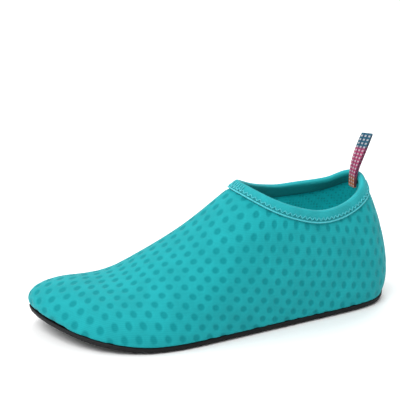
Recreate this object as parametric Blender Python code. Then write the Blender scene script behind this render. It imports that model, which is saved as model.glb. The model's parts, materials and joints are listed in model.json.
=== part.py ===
"""A child's left water shoe: lugged rubber sole, footbed, knit upper, bound collar and pull loop.

Metres, +X to the toe, +Y to the outer side of the foot, +Z up. The sole stands on z = 0.
The whole shoe is worked out from one last: a plan, a row of sections and a collar line.
"""

import math

import bmesh
import bpy
import numpy as np
from mathutils import Vector
from mathutils.bvhtree import BVHTree

# The last
OUTSOLE_LENGTH = 0.180
BALL_WIDTH = 0.0735
INSTEP_HEIGHT = 0.0655
COLLAR_DIP_HEIGHT = 0.0526
HEEL_BACK_HEIGHT = 0.0633
COLLAR_INNER_RISE = 0.0034
THROAT_FROM_HEEL = 0.0790
TOE_SPRING = 0.0085
HEEL_KICK = 0.0020
ARCH_LIFT = 0.0016

# The upper
UPPER_WALL = 0.0020
LASTING_MARGIN = 0.0080
CLEARANCE = 0.0003

# The sole
SOLE_PLATE = 0.0016
TREAD_DEPTH = 0.0012
LUG_STEP = 0.0003
SOLE_BORDER = 0.0056
SOLE_SHOULDER = 0.0016
HEX_PITCH = 0.0091
HEX_ROW = 0.0060
HEX_GROOVE = 0.0011
HEX_TURN = math.radians(11)
RIB_WIDTH = 0.0034
FINGER_WIDTH = 0.0062

# The footbed
INSOLE_THICKNESS = 0.0020

# The collar's tape
BINDING_DEPTH = 0.0055
BINDING_TAPE = 0.0006
BINDING_INNER_GAP = 0.00045
SEAM_WIDTH = 0.0011
SEAM_RISE = 0.0002

# The pull loop
RIBBON_WIDTH = 0.0058
RIBBON_THICKNESS = 0.0006
LOOP_HEIGHT = 0.0215
LOOP_SEWN = 0.0060
LOOP_GAP = 0.0012
LOOP_PINCH_SHARE = 0.2
LOOP_LEAN = 0.0075
LOOP_TWIST = math.radians(40)

# How finely the pieces are divided
HEEL_STEPS = 7
COLLAR_STEPS = 17
VAMP_STEPS = 11
TOE_STEPS = 6
SIDE_ROWS = 12
SKIN_SAMPLES = 240
DISC_SIDES = 18
LOOP_STEPS = 12

# Where the underside leaves the floor, as shares of OUTSOLE_LENGTH. The arch's across values are
# shares of BALL_WIDTH.
TOE_LIFTS_SHARE = 0.72
HEEL_LIFTS_SHARE = 0.062
ARCH = {"along": 0.45, "reach": 0.17, "across": 0.02, "reach_across": 0.24}

# The smooth border is wider along the inner side of the waist. wider is a share of SOLE_BORDER.
WAIST_BORDER = {"along": 0.42, "reach": 0.16, "wider": 0.9}

# The field of lugs is laid out from the middle of one lug, in rows and steps counted from it. It
# runs between two shares of OUTSOLE_LENGTH, and a lug cut back below least of its area is left out.
FIELD = {"along": 0.446, "across": 0.301, "heel_end": 0.02, "toe_end": 0.90, "least": 0.4}
FIELD_ROWS = range(-16, 9)
FIELD_STEPS = range(-20, 20)

# Plan of the sole. along is a share of OUTSOLE_LENGTH from the heel, outer and inner of BALL_WIDTH.
PLAN = [
    # along, outer, inner
    (0.000, -0.022, -0.022),
    (0.022, 0.151, -0.177),
    (0.074, 0.266, -0.273),
    (0.140, 0.322, -0.315),
    (0.212, 0.359, -0.325),
    (0.300, 0.398, -0.285),
    (0.392, 0.441, -0.211),
    (0.464, 0.477, -0.198),
    (0.540, 0.513, -0.224),
    (0.620, 0.549, -0.291),
    (0.690, 0.571, -0.356),
    (0.750, 0.568, -0.399),
    (0.815, 0.528, -0.424),
    (0.881, 0.438, -0.429),
    (0.935, 0.303, -0.393),
    (0.975, 0.122, -0.316),
    (1.000, -0.148, -0.148),
]

# Sections of the last. ridge is the crown's height as a share of INSTEP_HEIGHT, lift and crown are
# how far the side wall stands up and the top runs out flat, swell is the wall's outward swing as a
# share of BALL_WIDTH.
SECTIONS = [
    # along, ridge, lift, crown, swell
    (0.136, 0.995, 0.42, 0.84, 0.050),
    (0.300, 1.200, 0.52, 0.88, 0.050),
    (0.440, 1.000, 0.50, 0.76, 0.055),
    (0.600, 0.692, 0.50, 0.66, 0.058),
    (0.720, 0.508, 0.48, 0.54, 0.055),
    (0.790, 0.412, 0.52, 0.53, 0.052),
    (0.848, 0.390, 0.55, 0.55, 0.050),
]
HEEL_BACK = {"ridge": 1.150, "lift": 0.17, "crown": 0.51, "swell": 0.115}
TOE_TIP = {"ridge": SECTIONS[-1][1], "lift": 0.57, "crown": 0.72, "swell": 0.062}
HEEL_POLE = SECTIONS[0][0]
TOE_POLE = SECTIONS[-1][0]

# The crown's line seen from above. across is a share of BALL_WIDTH.
RIDGE_LINE = [
    # along, across
    (0.000, 0.000),
    (0.136, 0.000),
    (0.500, 0.020),
    (0.848, -0.020),
    (1.000, -0.060),
]

# The collar's edge, from the throat (0) round to the back of the heel (1). to_instep and to_heel
# are how far its height has gone from the dip to each of those sizes, and inner is the share of
# COLLAR_INNER_RISE by which the inner side stands higher.
COLLAR = [
    # way, to_instep, to_heel, inner
    (0.00, 1.00, 0.00, 0.00),
    (0.12, 0.57, 0.00, 0.10),
    (0.24, 0.26, 0.00, 0.35),
    (0.36, 0.05, 0.00, 0.70),
    (0.48, 0.00, 0.05, 1.00),
    (0.72, 0.00, 0.52, 0.95),
    (0.88, 0.00, 0.88, 0.45),
    (1.00, 0.00, 1.00, 0.00),
]

# Pads under the foot. radius and inner are shares of OUTSOLE_LENGTH. A ring pad has a flat disc of
# radius inner inside a flat ring, and a dome has none.
PADS = [
    # along, across, radius, inner
    (0.118, 0.007, 0.0618, 0.0500),
    (0.222, 0.208, 0.0316, 0.0204),
    (0.491, 0.105, 0.0263, 0.0164),
    (0.642, 0.322, 0.0461, 0.0342),
    (0.735, -0.079, 0.0697, 0.0526),
    (0.230, -0.045, 0.0250, 0.0),
    (0.304, 0.071, 0.0257, 0.0),
    (0.392, 0.105, 0.0250, 0.0),
    (0.593, 0.019, 0.0441, 0.0),
]

# The flex rib across the toe joint.
RIB = [
    # along, across
    (0.716, 0.500),
    (0.760, 0.388),
    (0.803, 0.240),
    (0.845, 0.066),
    (0.875, -0.098),
    (0.899, -0.235),
    (0.910, -0.310),
]

# Fingers of the toe, each from a round inner end towards the edge. width is a share of FINGER_WIDTH.
FINGERS = [
    # along, across, end along, end across, width
    (0.830, 0.325, 0.884, 0.385, 0.90),
    (0.871, 0.192, 0.940, 0.225, 1.00),
    (0.899, 0.050, 0.966, 0.050, 1.00),
    (0.934, -0.075, 0.972, -0.090, 0.90),
    (0.936, -0.200, 0.962, -0.215, 0.70),
    (0.790, 0.440, 0.806, 0.470, 0.60),
]


def through_rows(rows, column, at):
    """The value of a table's column at a place, on a smooth line that never overshoots its rows."""
    place = np.array([row[0] for row in rows])
    value = np.array([row[column] for row in rows])
    run = np.diff(place)
    rise = np.diff(value) / run
    slope = np.zeros(len(rows))
    slope[0], slope[-1] = rise[0], rise[-1]
    turns = rise[:-1] * rise[1:] <= 0
    total = np.where(turns, 1.0, rise[:-1] + rise[1:])
    slope[1:-1] = np.where(turns, 0.0, 2 * rise[:-1] * rise[1:] / total)
    at = np.clip(at, place[0], place[-1])
    row = np.clip(np.searchsorted(place, at) - 1, 0, len(rows) - 2)
    t = (at - place[row]) / run[row]
    start = (2 * t**3 - 3 * t**2 + 1) * value[row] + (t**3 - 2 * t**2 + t) * run[row] * slope[row]
    end = (3 * t**2 - 2 * t**3) * value[row + 1] + (t**3 - t**2) * run[row] * slope[row + 1]
    return start + end


def half_turn(along):
    """A share of the length as an angle from 0 to pi, in which both round ends of the plan run straight."""
    return np.arccos(np.clip(1 - 2 * np.asarray(along, float), -1, 1))


PLAN_BY_TURN = [(float(half_turn(along)), outer, inner) for along, outer, inner in PLAN]


def plan_point(along, side):
    """A point of the sole's edge in plan, on the outer side (1) or the inner side (-1)."""
    column = 1 if side > 0 else 2
    across = through_rows(PLAN_BY_TURN, column, half_turn(along))
    return np.array([along * OUTSOLE_LENGTH, float(across) * BALL_WIDTH])


def in_plan(along, across):
    return np.array([along * OUTSOLE_LENGTH, across * BALL_WIDTH])


def off_floor(points):
    """How far the sole's underside is off the floor: toe spring, heel kick and the arch's inner side."""
    along = points[..., 0] / OUTSOLE_LENGTH
    across = points[..., 1] / BALL_WIDTH
    toe = np.clip((along - TOE_LIFTS_SHARE) / (1 - TOE_LIFTS_SHARE), 0, None)
    heel = np.clip((HEEL_LIFTS_SHARE - along) / HEEL_LIFTS_SHARE, 0, None)
    waist = np.clip(1 - ((along - ARCH["along"]) / ARCH["reach"]) ** 2, 0, None) ** 2
    inner = np.clip((ARCH["across"] - across) / ARCH["reach_across"], 0, 1)
    return TOE_SPRING * toe**2 + HEEL_KICK * heel**2 + ARCH_LIFT * waist * inner**2


def stations():
    """Shares of the length at which the last is cut, close together at the throat and the round ends."""
    throat = THROAT_FROM_HEEL / OUTSOLE_LENGTH
    heel_turn = np.linspace(0, half_turn(HEEL_POLE), HEEL_STEPS + 1)
    toe_turn = np.linspace(half_turn(TOE_POLE), math.pi, TOE_STEPS + 1)
    heel = (1 - np.cos(heel_turn)) / 2
    toe = (1 - np.cos(toe_turn)) / 2
    back = throat - (throat - HEEL_POLE) * np.linspace(1, 0, COLLAR_STEPS + 1) ** 2
    front = throat + (TOE_POLE - throat) * np.linspace(0, 1, VAMP_STEPS + 1) ** 1.1
    return np.concatenate([heel[:-1], back[:-1], front[:-1], toe])


STATIONS = stations()
THROAT_STATION = HEEL_STEPS + COLLAR_STEPS
RING = [(along, 1) for along in STATIONS[:-1]] + [(along, -1) for along in STATIONS[:0:-1]]
EDGE = np.array([plan_point(along, side) for along, side in RING])


def edge_normals():
    forward = np.roll(EDGE, -1, axis=0) - np.roll(EDGE, 1, axis=0)
    normal = np.stack([-forward[:, 1], forward[:, 0]], axis=1)
    return normal / np.linalg.norm(normal, axis=1, keepdims=True)


EDGE_OUT = edge_normals()


def ring_at(inset, height):
    """The sole's edge moved inwards by inset, at a height over the sole's underside."""
    plan = EDGE - EDGE_OUT * inset
    return np.column_stack([plan, off_floor(plan) + height])


SOLE_TOP = TREAD_DEPTH + SOLE_PLATE
UPPER_FOOT = SOLE_TOP + CLEARANCE
TOE_SLOPE = 2 * TOE_SPRING / ((1 - TOE_LIFTS_SHARE) * OUTSOLE_LENGTH)
INSIDE_MARGIN = LASTING_MARGIN + CLEARANCE + UPPER_WALL * TOE_SLOPE


def last_column(index):
    """The four control points of the last's skin from the sole's edge up to its crown."""
    along, side = RING[index]
    pole_along = min(max(along, HEEL_POLE), TOE_POLE)
    row = [float(through_rows(SECTIONS, column, pole_along)) for column in range(1, 5)]
    pole_across = float(through_rows(RIDGE_LINE, 1, pole_along))
    pole = in_plan(pole_along, pole_across)
    foot = EDGE[index]
    reach = np.linalg.norm(foot - pole)
    outward = (foot - pole) / reach
    if along != pole_along:
        end = TOE_TIP if along > TOE_POLE else HEEL_BACK
        share = outward[0] ** 2
        target = [end["ridge"], end["lift"], end["crown"], end["swell"]]
        row = [side_value * (1 - share) + value * share for side_value, value in zip(row, target)]
    ridge, lift, crown, swell = row
    floor = float(off_floor(foot)) + UPPER_FOOT
    top = ridge * INSTEP_HEIGHT
    return np.array([
        [*foot, floor],
        [*(foot + outward * swell * BALL_WIDTH), floor + lift * (top - floor)],
        [*(pole + outward * crown * reach), top],
        [*pole, top],
    ])


def cubic(control, t):
    t = np.asarray(t, float)[:, None]
    weights = ((1 - t) ** 3, 3 * (1 - t) ** 2 * t, 3 * (1 - t) * t**2, t**3)
    return sum(weight * point for weight, point in zip(weights, control))


def collar_way():
    """How far round the collar each column behind the throat stands, from the throat (0) to the heel (1)."""
    way = {}
    for first, step in ((THROAT_STATION, -1), (len(RING) - THROAT_STATION, 1)):
        order = [(first + step * k) % len(RING) for k in range(THROAT_STATION + 1)]
        lengths = [np.linalg.norm(EDGE[a] - EDGE[b]) for a, b in zip(order, order[1:])]
        travelled = np.concatenate([[0], np.cumsum(lengths)])
        way.update(zip(order, travelled / travelled[-1]))
    return way


COLLAR_WAY = collar_way()


def collar_height(way, side):
    to_instep = float(through_rows(COLLAR, 1, way))
    to_heel = float(through_rows(COLLAR, 2, way))
    throat_ridge = float(through_rows(SECTIONS, 1, THROAT_FROM_HEEL / OUTSOLE_LENGTH)) * INSTEP_HEIGHT
    inner = float(through_rows(COLLAR, 3, way)) if side < 0 else 0.0
    height = COLLAR_DIP_HEIGHT + inner * COLLAR_INNER_RISE
    height += to_instep * (throat_ridge - COLLAR_DIP_HEIGHT)
    return height + to_heel * (HEEL_BACK_HEIGHT - COLLAR_DIP_HEIGHT)


def skin_column(index):
    """Points of the upper's outer skin from the sole to the crown, or to the collar behind the throat."""
    control = last_column(index)
    t = np.linspace(0, 1, SKIN_SAMPLES)
    end = 1.0
    if index in COLLAR_WAY and COLLAR_WAY[index] > 0:
        heights = cubic(control, t)[:, 2]
        end = float(np.interp(collar_height(COLLAR_WAY[index], RING[index][1]), heights, t))
    return cubic(control, np.linspace(0, end, SIDE_ROWS + 1))


def material(name, colour, roughness, metallic=0.0):
    made = bpy.data.materials.new(name)
    made.use_nodes = True
    shader = made.node_tree.nodes["Principled BSDF"]
    shader.inputs["Base Color"].default_value = (*colour, 1)
    shader.inputs["Roughness"].default_value = roughness
    shader.inputs["Metallic"].default_value = metallic
    return made


def new_object(name, bm, made_of):
    mesh = bpy.data.meshes.new(name)
    bm.to_mesh(mesh)
    bm.free()
    mesh.shade_smooth()
    mesh.set_sharp_from_angle(angle=math.radians(35))
    piece = bpy.data.objects.new(name, mesh)
    piece.data.materials.append(made_of)
    bpy.context.scene.collection.objects.link(piece)
    return piece


def bridge_rows(bm, rows, closed_rows=False):
    """Quads between rings of vertices that run round the shoe, facing away from its middle."""
    count = len(rows[0])
    pairs = list(zip(rows, rows[1:]))
    if closed_rows:
        pairs.append((rows[-1], rows[0]))
    for low, high in pairs:
        for k in range(count):
            after = (k + 1) % count
            bm.faces.new((low[k], high[k], high[after], low[after]))


def ladder(bm, ring, upwards):
    """Closes a ring that runs round the plan with rungs from the outer side to the inner side."""
    count = len(ring)
    for k in range(count // 2):
        corners = [ring[k], ring[k + 1], ring[count - k - 1], ring[(count - k) % count]]
        corners = list(dict.fromkeys(corners))
        bm.faces.new(corners[::-1] if upwards else corners)


def plan_solid(bm, rings):
    """A closed solid from rings that go from the middle of its underside out and up to its top."""
    rows = [[bm.verts.new(point) for point in ring] for ring in rings]
    ladder(bm, rows[0], upwards=False)
    bridge_rows(bm, rows)
    ladder(bm, rows[-1], upwards=True)


def upper_skin():
    """The upper's outer skin with its edge turned in under the foot, open at the collar and below."""
    bm = bmesh.new()
    columns = np.array([skin_column(index) for index in range(len(RING))])
    rows = [ring_at(LASTING_MARGIN, UPPER_FOOT)]
    rows += [columns[:, row] for row in range(SIDE_ROWS + 1)]
    bridge_rows(bm, [[bm.verts.new(point) for point in row] for row in rows])
    bmesh.ops.remove_doubles(bm, verts=bm.verts, dist=1e-6)
    return bm


def build_upper():
    upper = new_object("upper", upper_skin(), material("teal knit", (0.026, 0.44, 0.46), 0.75))
    wall = upper.modifiers.new("wall", "SOLIDIFY")
    wall.thickness = UPPER_WALL
    wall.offset = -1
    wall.use_even_offset = True
    wall.use_quality_normals = True
    return upper


def collar_edge():
    """The collar's edge as a closed run of points, from the throat along the outer side and back."""
    outer = [THROAT_STATION - k for k in range(THROAT_STATION + 1)]
    inner = [len(RING) - k for k in range(1, THROAT_STATION)]
    return np.array([skin_column(index)[-1] for index in outer + inner])


class Skin:
    """The upper's outer skin, asked for its nearest point and the rounded normal there."""

    def __init__(self):
        self.bm = upper_skin()
        self.bm.normal_update()
        self.bm.faces.ensure_lookup_table()
        self.tree = BVHTree.FromBMesh(self.bm)

    def nearest(self, point):
        place, _, index, _ = self.tree.find_nearest(point)
        rounded = Vector()
        for vert in self.bm.faces[index].verts:
            rounded += vert.normal / ((vert.co - place).length + 1e-5)
        return place, rounded.normalized()


def collar_frames(skin):
    """At each point of the collar's edge: the point, the way onto the shoe, and the skin's normal."""
    edge = collar_edge()
    ahead = np.roll(edge, -1, axis=0) - np.roll(edge, 1, axis=0)
    frames = []
    for point, tangent in zip(edge, ahead):
        tangent = Vector(tangent).normalized()
        normal = skin.nearest(Vector(point))[1]
        normal = (normal - normal.project(tangent)).normalized()
        onto_shoe = tangent.cross(normal).normalized()
        frames.append((Vector(point), onto_shoe, normal))
    return frames


def collar_point(frame, skin, depth, proud):
    """A point depth down from the collar's edge and proud of the upper's outer skin."""
    point, onto_shoe, normal = frame
    if depth <= 0:
        return point + onto_shoe * depth + normal * proud
    on_skin, facing = skin.nearest(point + onto_shoe * depth)
    blend = min(depth / BINDING_DEPTH, 1)
    facing = (facing * blend + normal * (1 - blend)).normalized()
    return on_skin + facing * proud


def build_collar_binding(frames, skin):
    """Tape folded over the collar's edge, its outer leg ending in a raised seam."""
    outer_back = CLEARANCE
    outer_face = outer_back + BINDING_TAPE
    inner_back = -UPPER_WALL - BINDING_INNER_GAP
    inner_face = inner_back - BINDING_TAPE
    middle = -UPPER_WALL / 2
    top = -CLEARANCE - BINDING_TAPE
    half = BINDING_DEPTH / 2
    section = [
        # depth, proud
        (BINDING_DEPTH, outer_face + SEAM_RISE / 2),
        (BINDING_DEPTH - SEAM_WIDTH / 2, outer_face + SEAM_RISE),
        (BINDING_DEPTH - SEAM_WIDTH, outer_face),
        (half, outer_face),
        (0, outer_face),
        (top * 0.7, middle + (outer_face - middle) * 0.6),
        (top, middle),
        (top * 0.7, middle + (inner_face - middle) * 0.6),
        (0, inner_face),
        (half, inner_face),
        (BINDING_DEPTH, inner_face),
        (BINDING_DEPTH, inner_back),
        (half, inner_back),
        (-CLEARANCE, inner_back),
        (-CLEARANCE, outer_back),
        (half, outer_back),
        (BINDING_DEPTH, outer_back),
    ]
    bm = bmesh.new()
    rows = []
    for depth, proud in section:
        rows.append([bm.verts.new(collar_point(frame, skin, depth, proud)) for frame in frames])
    bridge_rows(bm, rows, closed_rows=True)
    bmesh.ops.recalc_face_normals(bm, faces=bm.faces)
    return new_object("collar_binding", bm, material("teal tape", (0.035, 0.50, 0.52), 0.65))


def build_pull_loop(frames, skin):
    """Ribbon folded double, sewn inside the back of the collar and leaning back over it."""
    lining = -UPPER_WALL - BINDING_INNER_GAP - BINDING_TAPE
    half_sewn = RIBBON_THICKNESS + LOOP_GAP * LOOP_PINCH_SHARE / 2
    length = LOOP_SEWN + LOOP_HEIGHT

    def against_lining(depth):
        """The ribbon's middle where both its edges lie clear of the hollow back of the collar."""
        heel = frames[THROAT_STATION : THROAT_STATION - HEEL_STEPS : -1]
        face = [collar_point(frame, skin, depth, lining) for frame in heel]
        hollow = np.interp(RIBBON_WIDTH / 2, [point.y for point in face], [point.x for point in face])
        return Vector((float(hollow) + CLEARANCE + half_sewn, 0, face[0].z))

    sewn_end, at_edge = against_lining(LOOP_SEWN), against_lining(0)
    sewn_end.x = max(sewn_end.x, at_edge.x)
    top = at_edge + Vector((-LOOP_LEAN, 0, LOOP_HEIGHT))
    above_edge = at_edge + Vector((-0.1 * LOOP_LEAN, 0, 0.3 * LOOP_HEIGHT))

    def centre(height):
        if height < LOOP_SEWN:
            return sewn_end.lerp(at_edge, height / LOOP_SEWN)
        t = (height - LOOP_SEWN) / LOOP_HEIGHT
        return at_edge * (1 - t) ** 2 + above_edge * (2 * t * (1 - t)) + top * t**2

    def place(height, apart, sideways):
        risen = min(max((height - LOOP_SEWN) / LOOP_HEIGHT, 0), 1)
        turn = LOOP_TWIST * risen * (2 - risen) * risen
        across = Vector((-math.sin(turn), math.cos(turn), 0))
        facing = Vector((math.cos(turn), math.sin(turn), 0))
        return centre(min(height, length)) + facing * apart + across * sideways

    def fold(low, high, layer):
        """The ribbon's line up one side, over the fold and down the other, as (height, apart)."""
        line = []
        for k in range(LOOP_STEPS):
            share = k / LOOP_STEPS
            height = low + (high - low) * (1 - (1 - share) ** 1.6)
            opened = min(max((height - LOOP_SEWN) / (0.6 * LOOP_HEIGHT), 0), 1)
            half_gap = LOOP_GAP / 2 * (LOOP_PINCH_SHARE + (1 - LOOP_PINCH_SHARE) * opened)
            rounding = math.sqrt(1 - max(share - 0.7, 0) ** 2 / 0.09)
            line.append((height, (half_gap + layer) * rounding))
        return line + [(high, 0.0)] + [(height, -apart) for height, apart in line[::-1]]

    outer = fold(0, length, RIBBON_THICKNESS)
    inner = fold(LOOP_SEWN, length - RIBBON_THICKNESS, 0)
    bm = bmesh.new()
    rings = []
    for line, sideways in ((outer, 0.5), (outer, -0.5), (inner, -0.5), (inner, 0.5)):
        ring = [place(height, apart, sideways * RIBBON_WIDTH) for height, apart in line]
        rings.append([bm.verts.new(point) for point in ring])
    bridge_rows(bm, rings, closed_rows=True)
    bmesh.ops.recalc_face_normals(bm, faces=bm.faces)
    return new_object("pull_loop", bm, material("checked ribbon", (0.55, 0.16, 0.28), 0.7))


def build_insole():
    """Footbed lying on the sole and on the upper's turned-in edge."""
    over_margin = UPPER_FOOT + UPPER_WALL + CLEARANCE
    edge = UPPER_WALL + 2 * CLEARANCE
    bm = bmesh.new()
    plan_solid(bm, [
        ring_at(INSIDE_MARGIN, UPPER_FOOT),
        ring_at(INSIDE_MARGIN, over_margin),
        ring_at(edge, over_margin),
        ring_at(edge, over_margin + INSOLE_THICKNESS * 0.7),
        ring_at(edge + INSOLE_THICKNESS * 0.5, over_margin + INSOLE_THICKNESS),
    ])
    return new_object("insole", bm, material("foam", (0.03, 0.30, 0.32), 0.9))


def prism(bm, outline, low, high, taper=1.0):
    """A straight-sided block under the sole. low and high are heights over the sole's underside."""
    outline = np.asarray(outline, float)
    middle = outline.mean(axis=0)
    tip = middle + (outline - middle) * taper
    bottom = [bm.verts.new((*point, float(off_floor(point)) + low)) for point in tip]
    top = [bm.verts.new((*point, float(off_floor(point)) + high)) for point in outline]
    bm.faces.new(bottom)
    bm.faces.new(top[::-1])
    for k in range(len(outline)):
        after = (k + 1) % len(outline)
        bm.faces.new((bottom[k], top[k], top[after], bottom[after]))


def circle(centre, radius, sides=DISC_SIDES):
    angles = [2 * math.pi * k / sides for k in range(sides)]
    return np.array([centre + radius * np.array([math.cos(a), math.sin(a)]) for a in angles])


def lathe_pad(bm, centre, profile):
    """A pad turned about its own middle. profile is (radius, height) from the middle outwards."""
    rings = []
    for radius, height in profile:
        points = circle(centre, radius) if radius else [centre]
        rings.append([bm.verts.new((*point, float(off_floor(point)) + height)) for point in points])
    for low, high in zip(rings, rings[1:]):
        for k in range(DISC_SIDES):
            after = (k + 1) % DISC_SIDES
            corners = [low[k % len(low)], high[k % len(high)], high[after % len(high)], low[after % len(low)]]
            bm.faces.new(list(dict.fromkeys(corners)))


def pad_profile(radius, inner, root):
    if inner:
        groove = HEX_GROOVE
        return [(0, 0), (inner, 0), (inner, groove / 2), (inner + groove, groove / 2),
                (inner + groove, 0), (radius, 0), (radius, root), (0, root)]
    crown = TREAD_DEPTH - LUG_STEP
    profile = [(radius * math.sin(a), crown * (1 - math.cos(a)) / (1 - math.cos(1.1)))
               for a in (0, 0.5, 0.85, 1.1)]
    widest = profile[-1][0]
    return [(r * radius / widest, h) for r, h in profile] + [(radius, root), (0, root)]


def clip(outline, point, normal):
    """What is left of a convex outline on the side of a line that its normal points to."""
    kept = []
    for k, here in enumerate(outline):
        after = outline[(k + 1) % len(outline)]
        d_here = float(np.dot(here - point, normal))
        d_after = float(np.dot(after - point, normal))
        if d_here >= 0:
            kept.append(here)
        if d_here * d_after < 0:
            kept.append(here + (after - here) * d_here / (d_here - d_after))
    return kept


def area(outline):
    outline = np.asarray(outline)
    ahead = np.roll(outline, -1, axis=0)
    return abs(float(np.sum(outline[:, 0] * ahead[:, 1] - outline[:, 1] * ahead[:, 0]))) / 2


def hexagon(centre):
    """One lug of the field: as long as its pitch and as tall as four thirds of a row, less the groove."""
    half_long = (HEX_PITCH - HEX_GROOVE) / 2
    tall = HEX_ROW * 4 / 3 - HEX_GROOVE
    corners = [(0, tall / 2), (half_long, tall / 4), (half_long, -tall / 4),
               (0, -tall / 2), (-half_long, -tall / 4), (-half_long, tall / 4)]
    turn = np.array([[math.cos(HEX_TURN), -math.sin(HEX_TURN)], [math.sin(HEX_TURN), math.cos(HEX_TURN)]])
    return [centre + turn @ np.array(corner) for corner in corners]


def border_width(index):
    along, side = RING[index]
    waist = max(1 - ((along - WAIST_BORDER["along"]) / WAIST_BORDER["reach"]) ** 2, 0)
    return SOLE_BORDER * (1 + (WAIST_BORDER["wider"] * waist if side < 0 else 0))


def field_lug(centre):
    """A lug of the field, cut back from the border, the pads and the flex rib, or None."""
    outline = hexagon(centre)
    whole = area(outline)
    nearest = int(np.argmin(np.linalg.norm(EDGE - centre, axis=1)))
    for index in (nearest - 1, nearest, (nearest + 1) % len(RING)):
        limit = EDGE[index] - EDGE_OUT[index] * (border_width(index) + HEX_GROOVE)
        outline = clip(outline, limit, -EDGE_OUT[index]) if outline else outline
    for along, across, radius, _ in PADS:
        pad = in_plan(along, across)
        away = centre - pad
        away = away / max(np.linalg.norm(away), 1e-9)
        reach = radius * OUTSOLE_LENGTH + HEX_GROOVE
        outline = clip(outline, pad + away * reach, away) if outline else outline
    rib = [in_plan(*row) for row in RIB]
    for start, end in zip(rib, rib[1:]):
        ahead = (end - start) / np.linalg.norm(end - start)
        back = np.array([ahead[1], -ahead[0]])
        limit = start + back * (RIB_WIDTH * 0.9 + HEX_GROOVE)
        outline = clip(outline, limit, back) if outline else outline
    if len(outline) < 3 or area(outline) < FIELD["least"] * whole:
        return None
    return outline


def hex_field(bm, root):
    along_row = np.array([math.cos(HEX_TURN), math.sin(HEX_TURN)])
    up_rows = np.array([-math.sin(HEX_TURN), math.cos(HEX_TURN)])
    start = in_plan(FIELD["along"], FIELD["across"])
    for row in FIELD_ROWS:
        for step in FIELD_STEPS:
            shift = 0.5 * (row % 2)
            centre = start + along_row * HEX_PITCH * (step + shift) + up_rows * HEX_ROW * row
            along, across = centre[0] / OUTSOLE_LENGTH, centre[1] / BALL_WIDTH
            if not FIELD["heel_end"] < along < FIELD["toe_end"]:
                continue
            if not plan_point(along, -1)[1] < centre[1] < plan_point(along, 1)[1]:
                continue
            outline = field_lug(centre)
            if outline:
                prism(bm, outline, LUG_STEP, root, taper=0.94)


def smooth_line(points, steps):
    """Points on a smooth line through the given ones."""
    points = np.asarray(points, float)
    padded = np.vstack([2 * points[0] - points[1], points, 2 * points[-1] - points[-2]])
    line = []
    for a, b, c, d in zip(padded, padded[1:], padded[2:], padded[3:]):
        for k in range(steps):
            t = k / steps
            line.append(0.5 * (2 * b + (c - a) * t + (2 * a - 5 * b + 4 * c - d) * t**2
                               + (3 * b - a - 3 * c + d) * t**3))
    line.append(points[-1])
    return np.array(line)


def flex_rib(bm, root):
    """The half-round rib across the toe joint."""
    line = smooth_line([in_plan(*row) for row in RIB], 2)
    ahead = np.gradient(line, axis=0)
    ahead /= np.linalg.norm(ahead, axis=1, keepdims=True)
    side = np.stack([-ahead[:, 1], ahead[:, 0]], axis=1)
    half = RIB_WIDTH / 2
    section = [(-half, root), (-half, TREAD_DEPTH * 0.55), (-half * 0.6, LUG_STEP * 0.6),
               (half * 0.6, LUG_STEP * 0.6), (half, TREAD_DEPTH * 0.55), (half, root)]
    rows = []
    for sideways, height in section:
        points = line + side * sideways
        rows.append([bm.verts.new((*point, float(off_floor(point)) + height)) for point in points])
    for low, high in zip(rows, rows[1:] + rows[:1]):
        for k in range(len(line) - 1):
            bm.faces.new((low[k], high[k], high[k + 1], low[k + 1]))
    bm.faces.new([row[0] for row in rows][::-1])
    bm.faces.new([row[-1] for row in rows])


def toe_fingers(bm, root):
    for along, across, end_along, end_across, width in FINGERS:
        start, end = in_plan(along, across), in_plan(end_along, end_across)
        ahead = (end - start) / np.linalg.norm(end - start)
        side = np.array([-ahead[1], ahead[0]])
        half = FINGER_WIDTH * width / 2
        outline = []
        for k in range(6):
            turn = math.pi / 2 + math.pi * k / 5
            outline.append(start + half * (math.cos(turn) * ahead + math.sin(turn) * side))
        outline.append(end - half * side)
        outline.append(end + half * side)
        prism(bm, outline, LUG_STEP, root, taper=0.93)


def build_outsole():
    """Thin moulded sole: a plate with a smooth border and shoulder, and its tread below it."""
    edge_round = CLEARANCE
    bm = bmesh.new()
    plan_solid(bm, [
        ring_at(SOLE_BORDER + LUG_STEP, TREAD_DEPTH),
        ring_at(SOLE_BORDER, LUG_STEP),
        ring_at(SOLE_SHOULDER, LUG_STEP),
        ring_at(SOLE_SHOULDER * 0.3, LUG_STEP + SOLE_SHOULDER * 0.25),
        ring_at(0, LUG_STEP + SOLE_SHOULDER * 0.8),
        ring_at(0, SOLE_TOP - edge_round),
        ring_at(edge_round, SOLE_TOP),
        ring_at(INSIDE_MARGIN, SOLE_TOP),
    ])
    rubber = material("black rubber", (0.012, 0.012, 0.013), 0.5)
    outsole = new_object("outsole", bm, rubber)
    root = TREAD_DEPTH + SOLE_PLATE / 2
    bm = bmesh.new()
    for along, across, radius, inner in PADS:
        profile = pad_profile(radius * OUTSOLE_LENGTH, inner * OUTSOLE_LENGTH, root)
        lathe_pad(bm, in_plan(along, across), profile)
    hex_field(bm, root)
    flex_rib(bm, root)
    toe_fingers(bm, root)
    bmesh.ops.recalc_face_normals(bm, faces=bm.faces)
    tread = new_object("tread_shape", bm, rubber)
    tread.hide_render = True
    tread.display_type = "WIRE"
    union = outsole.modifiers.new("tread", "BOOLEAN")
    union.operation = "UNION"
    union.object = tread
    return outsole


def centre_in_plan():
    """Moves every piece so that the origin is the middle of the shoe's bounding box in plan."""
    graph = bpy.context.evaluated_depsgraph_get()
    plan = []
    for piece in bpy.data.objects:
        if not piece.hide_render:
            plan += [(vert.co.x, vert.co.y) for vert in piece.evaluated_get(graph).data.vertices]
    middle = (np.min(plan, axis=0) + np.max(plan, axis=0)) / 2
    for piece in bpy.data.objects:
        for vert in piece.data.vertices:
            vert.co.x -= middle[0]
            vert.co.y -= middle[1]


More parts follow.
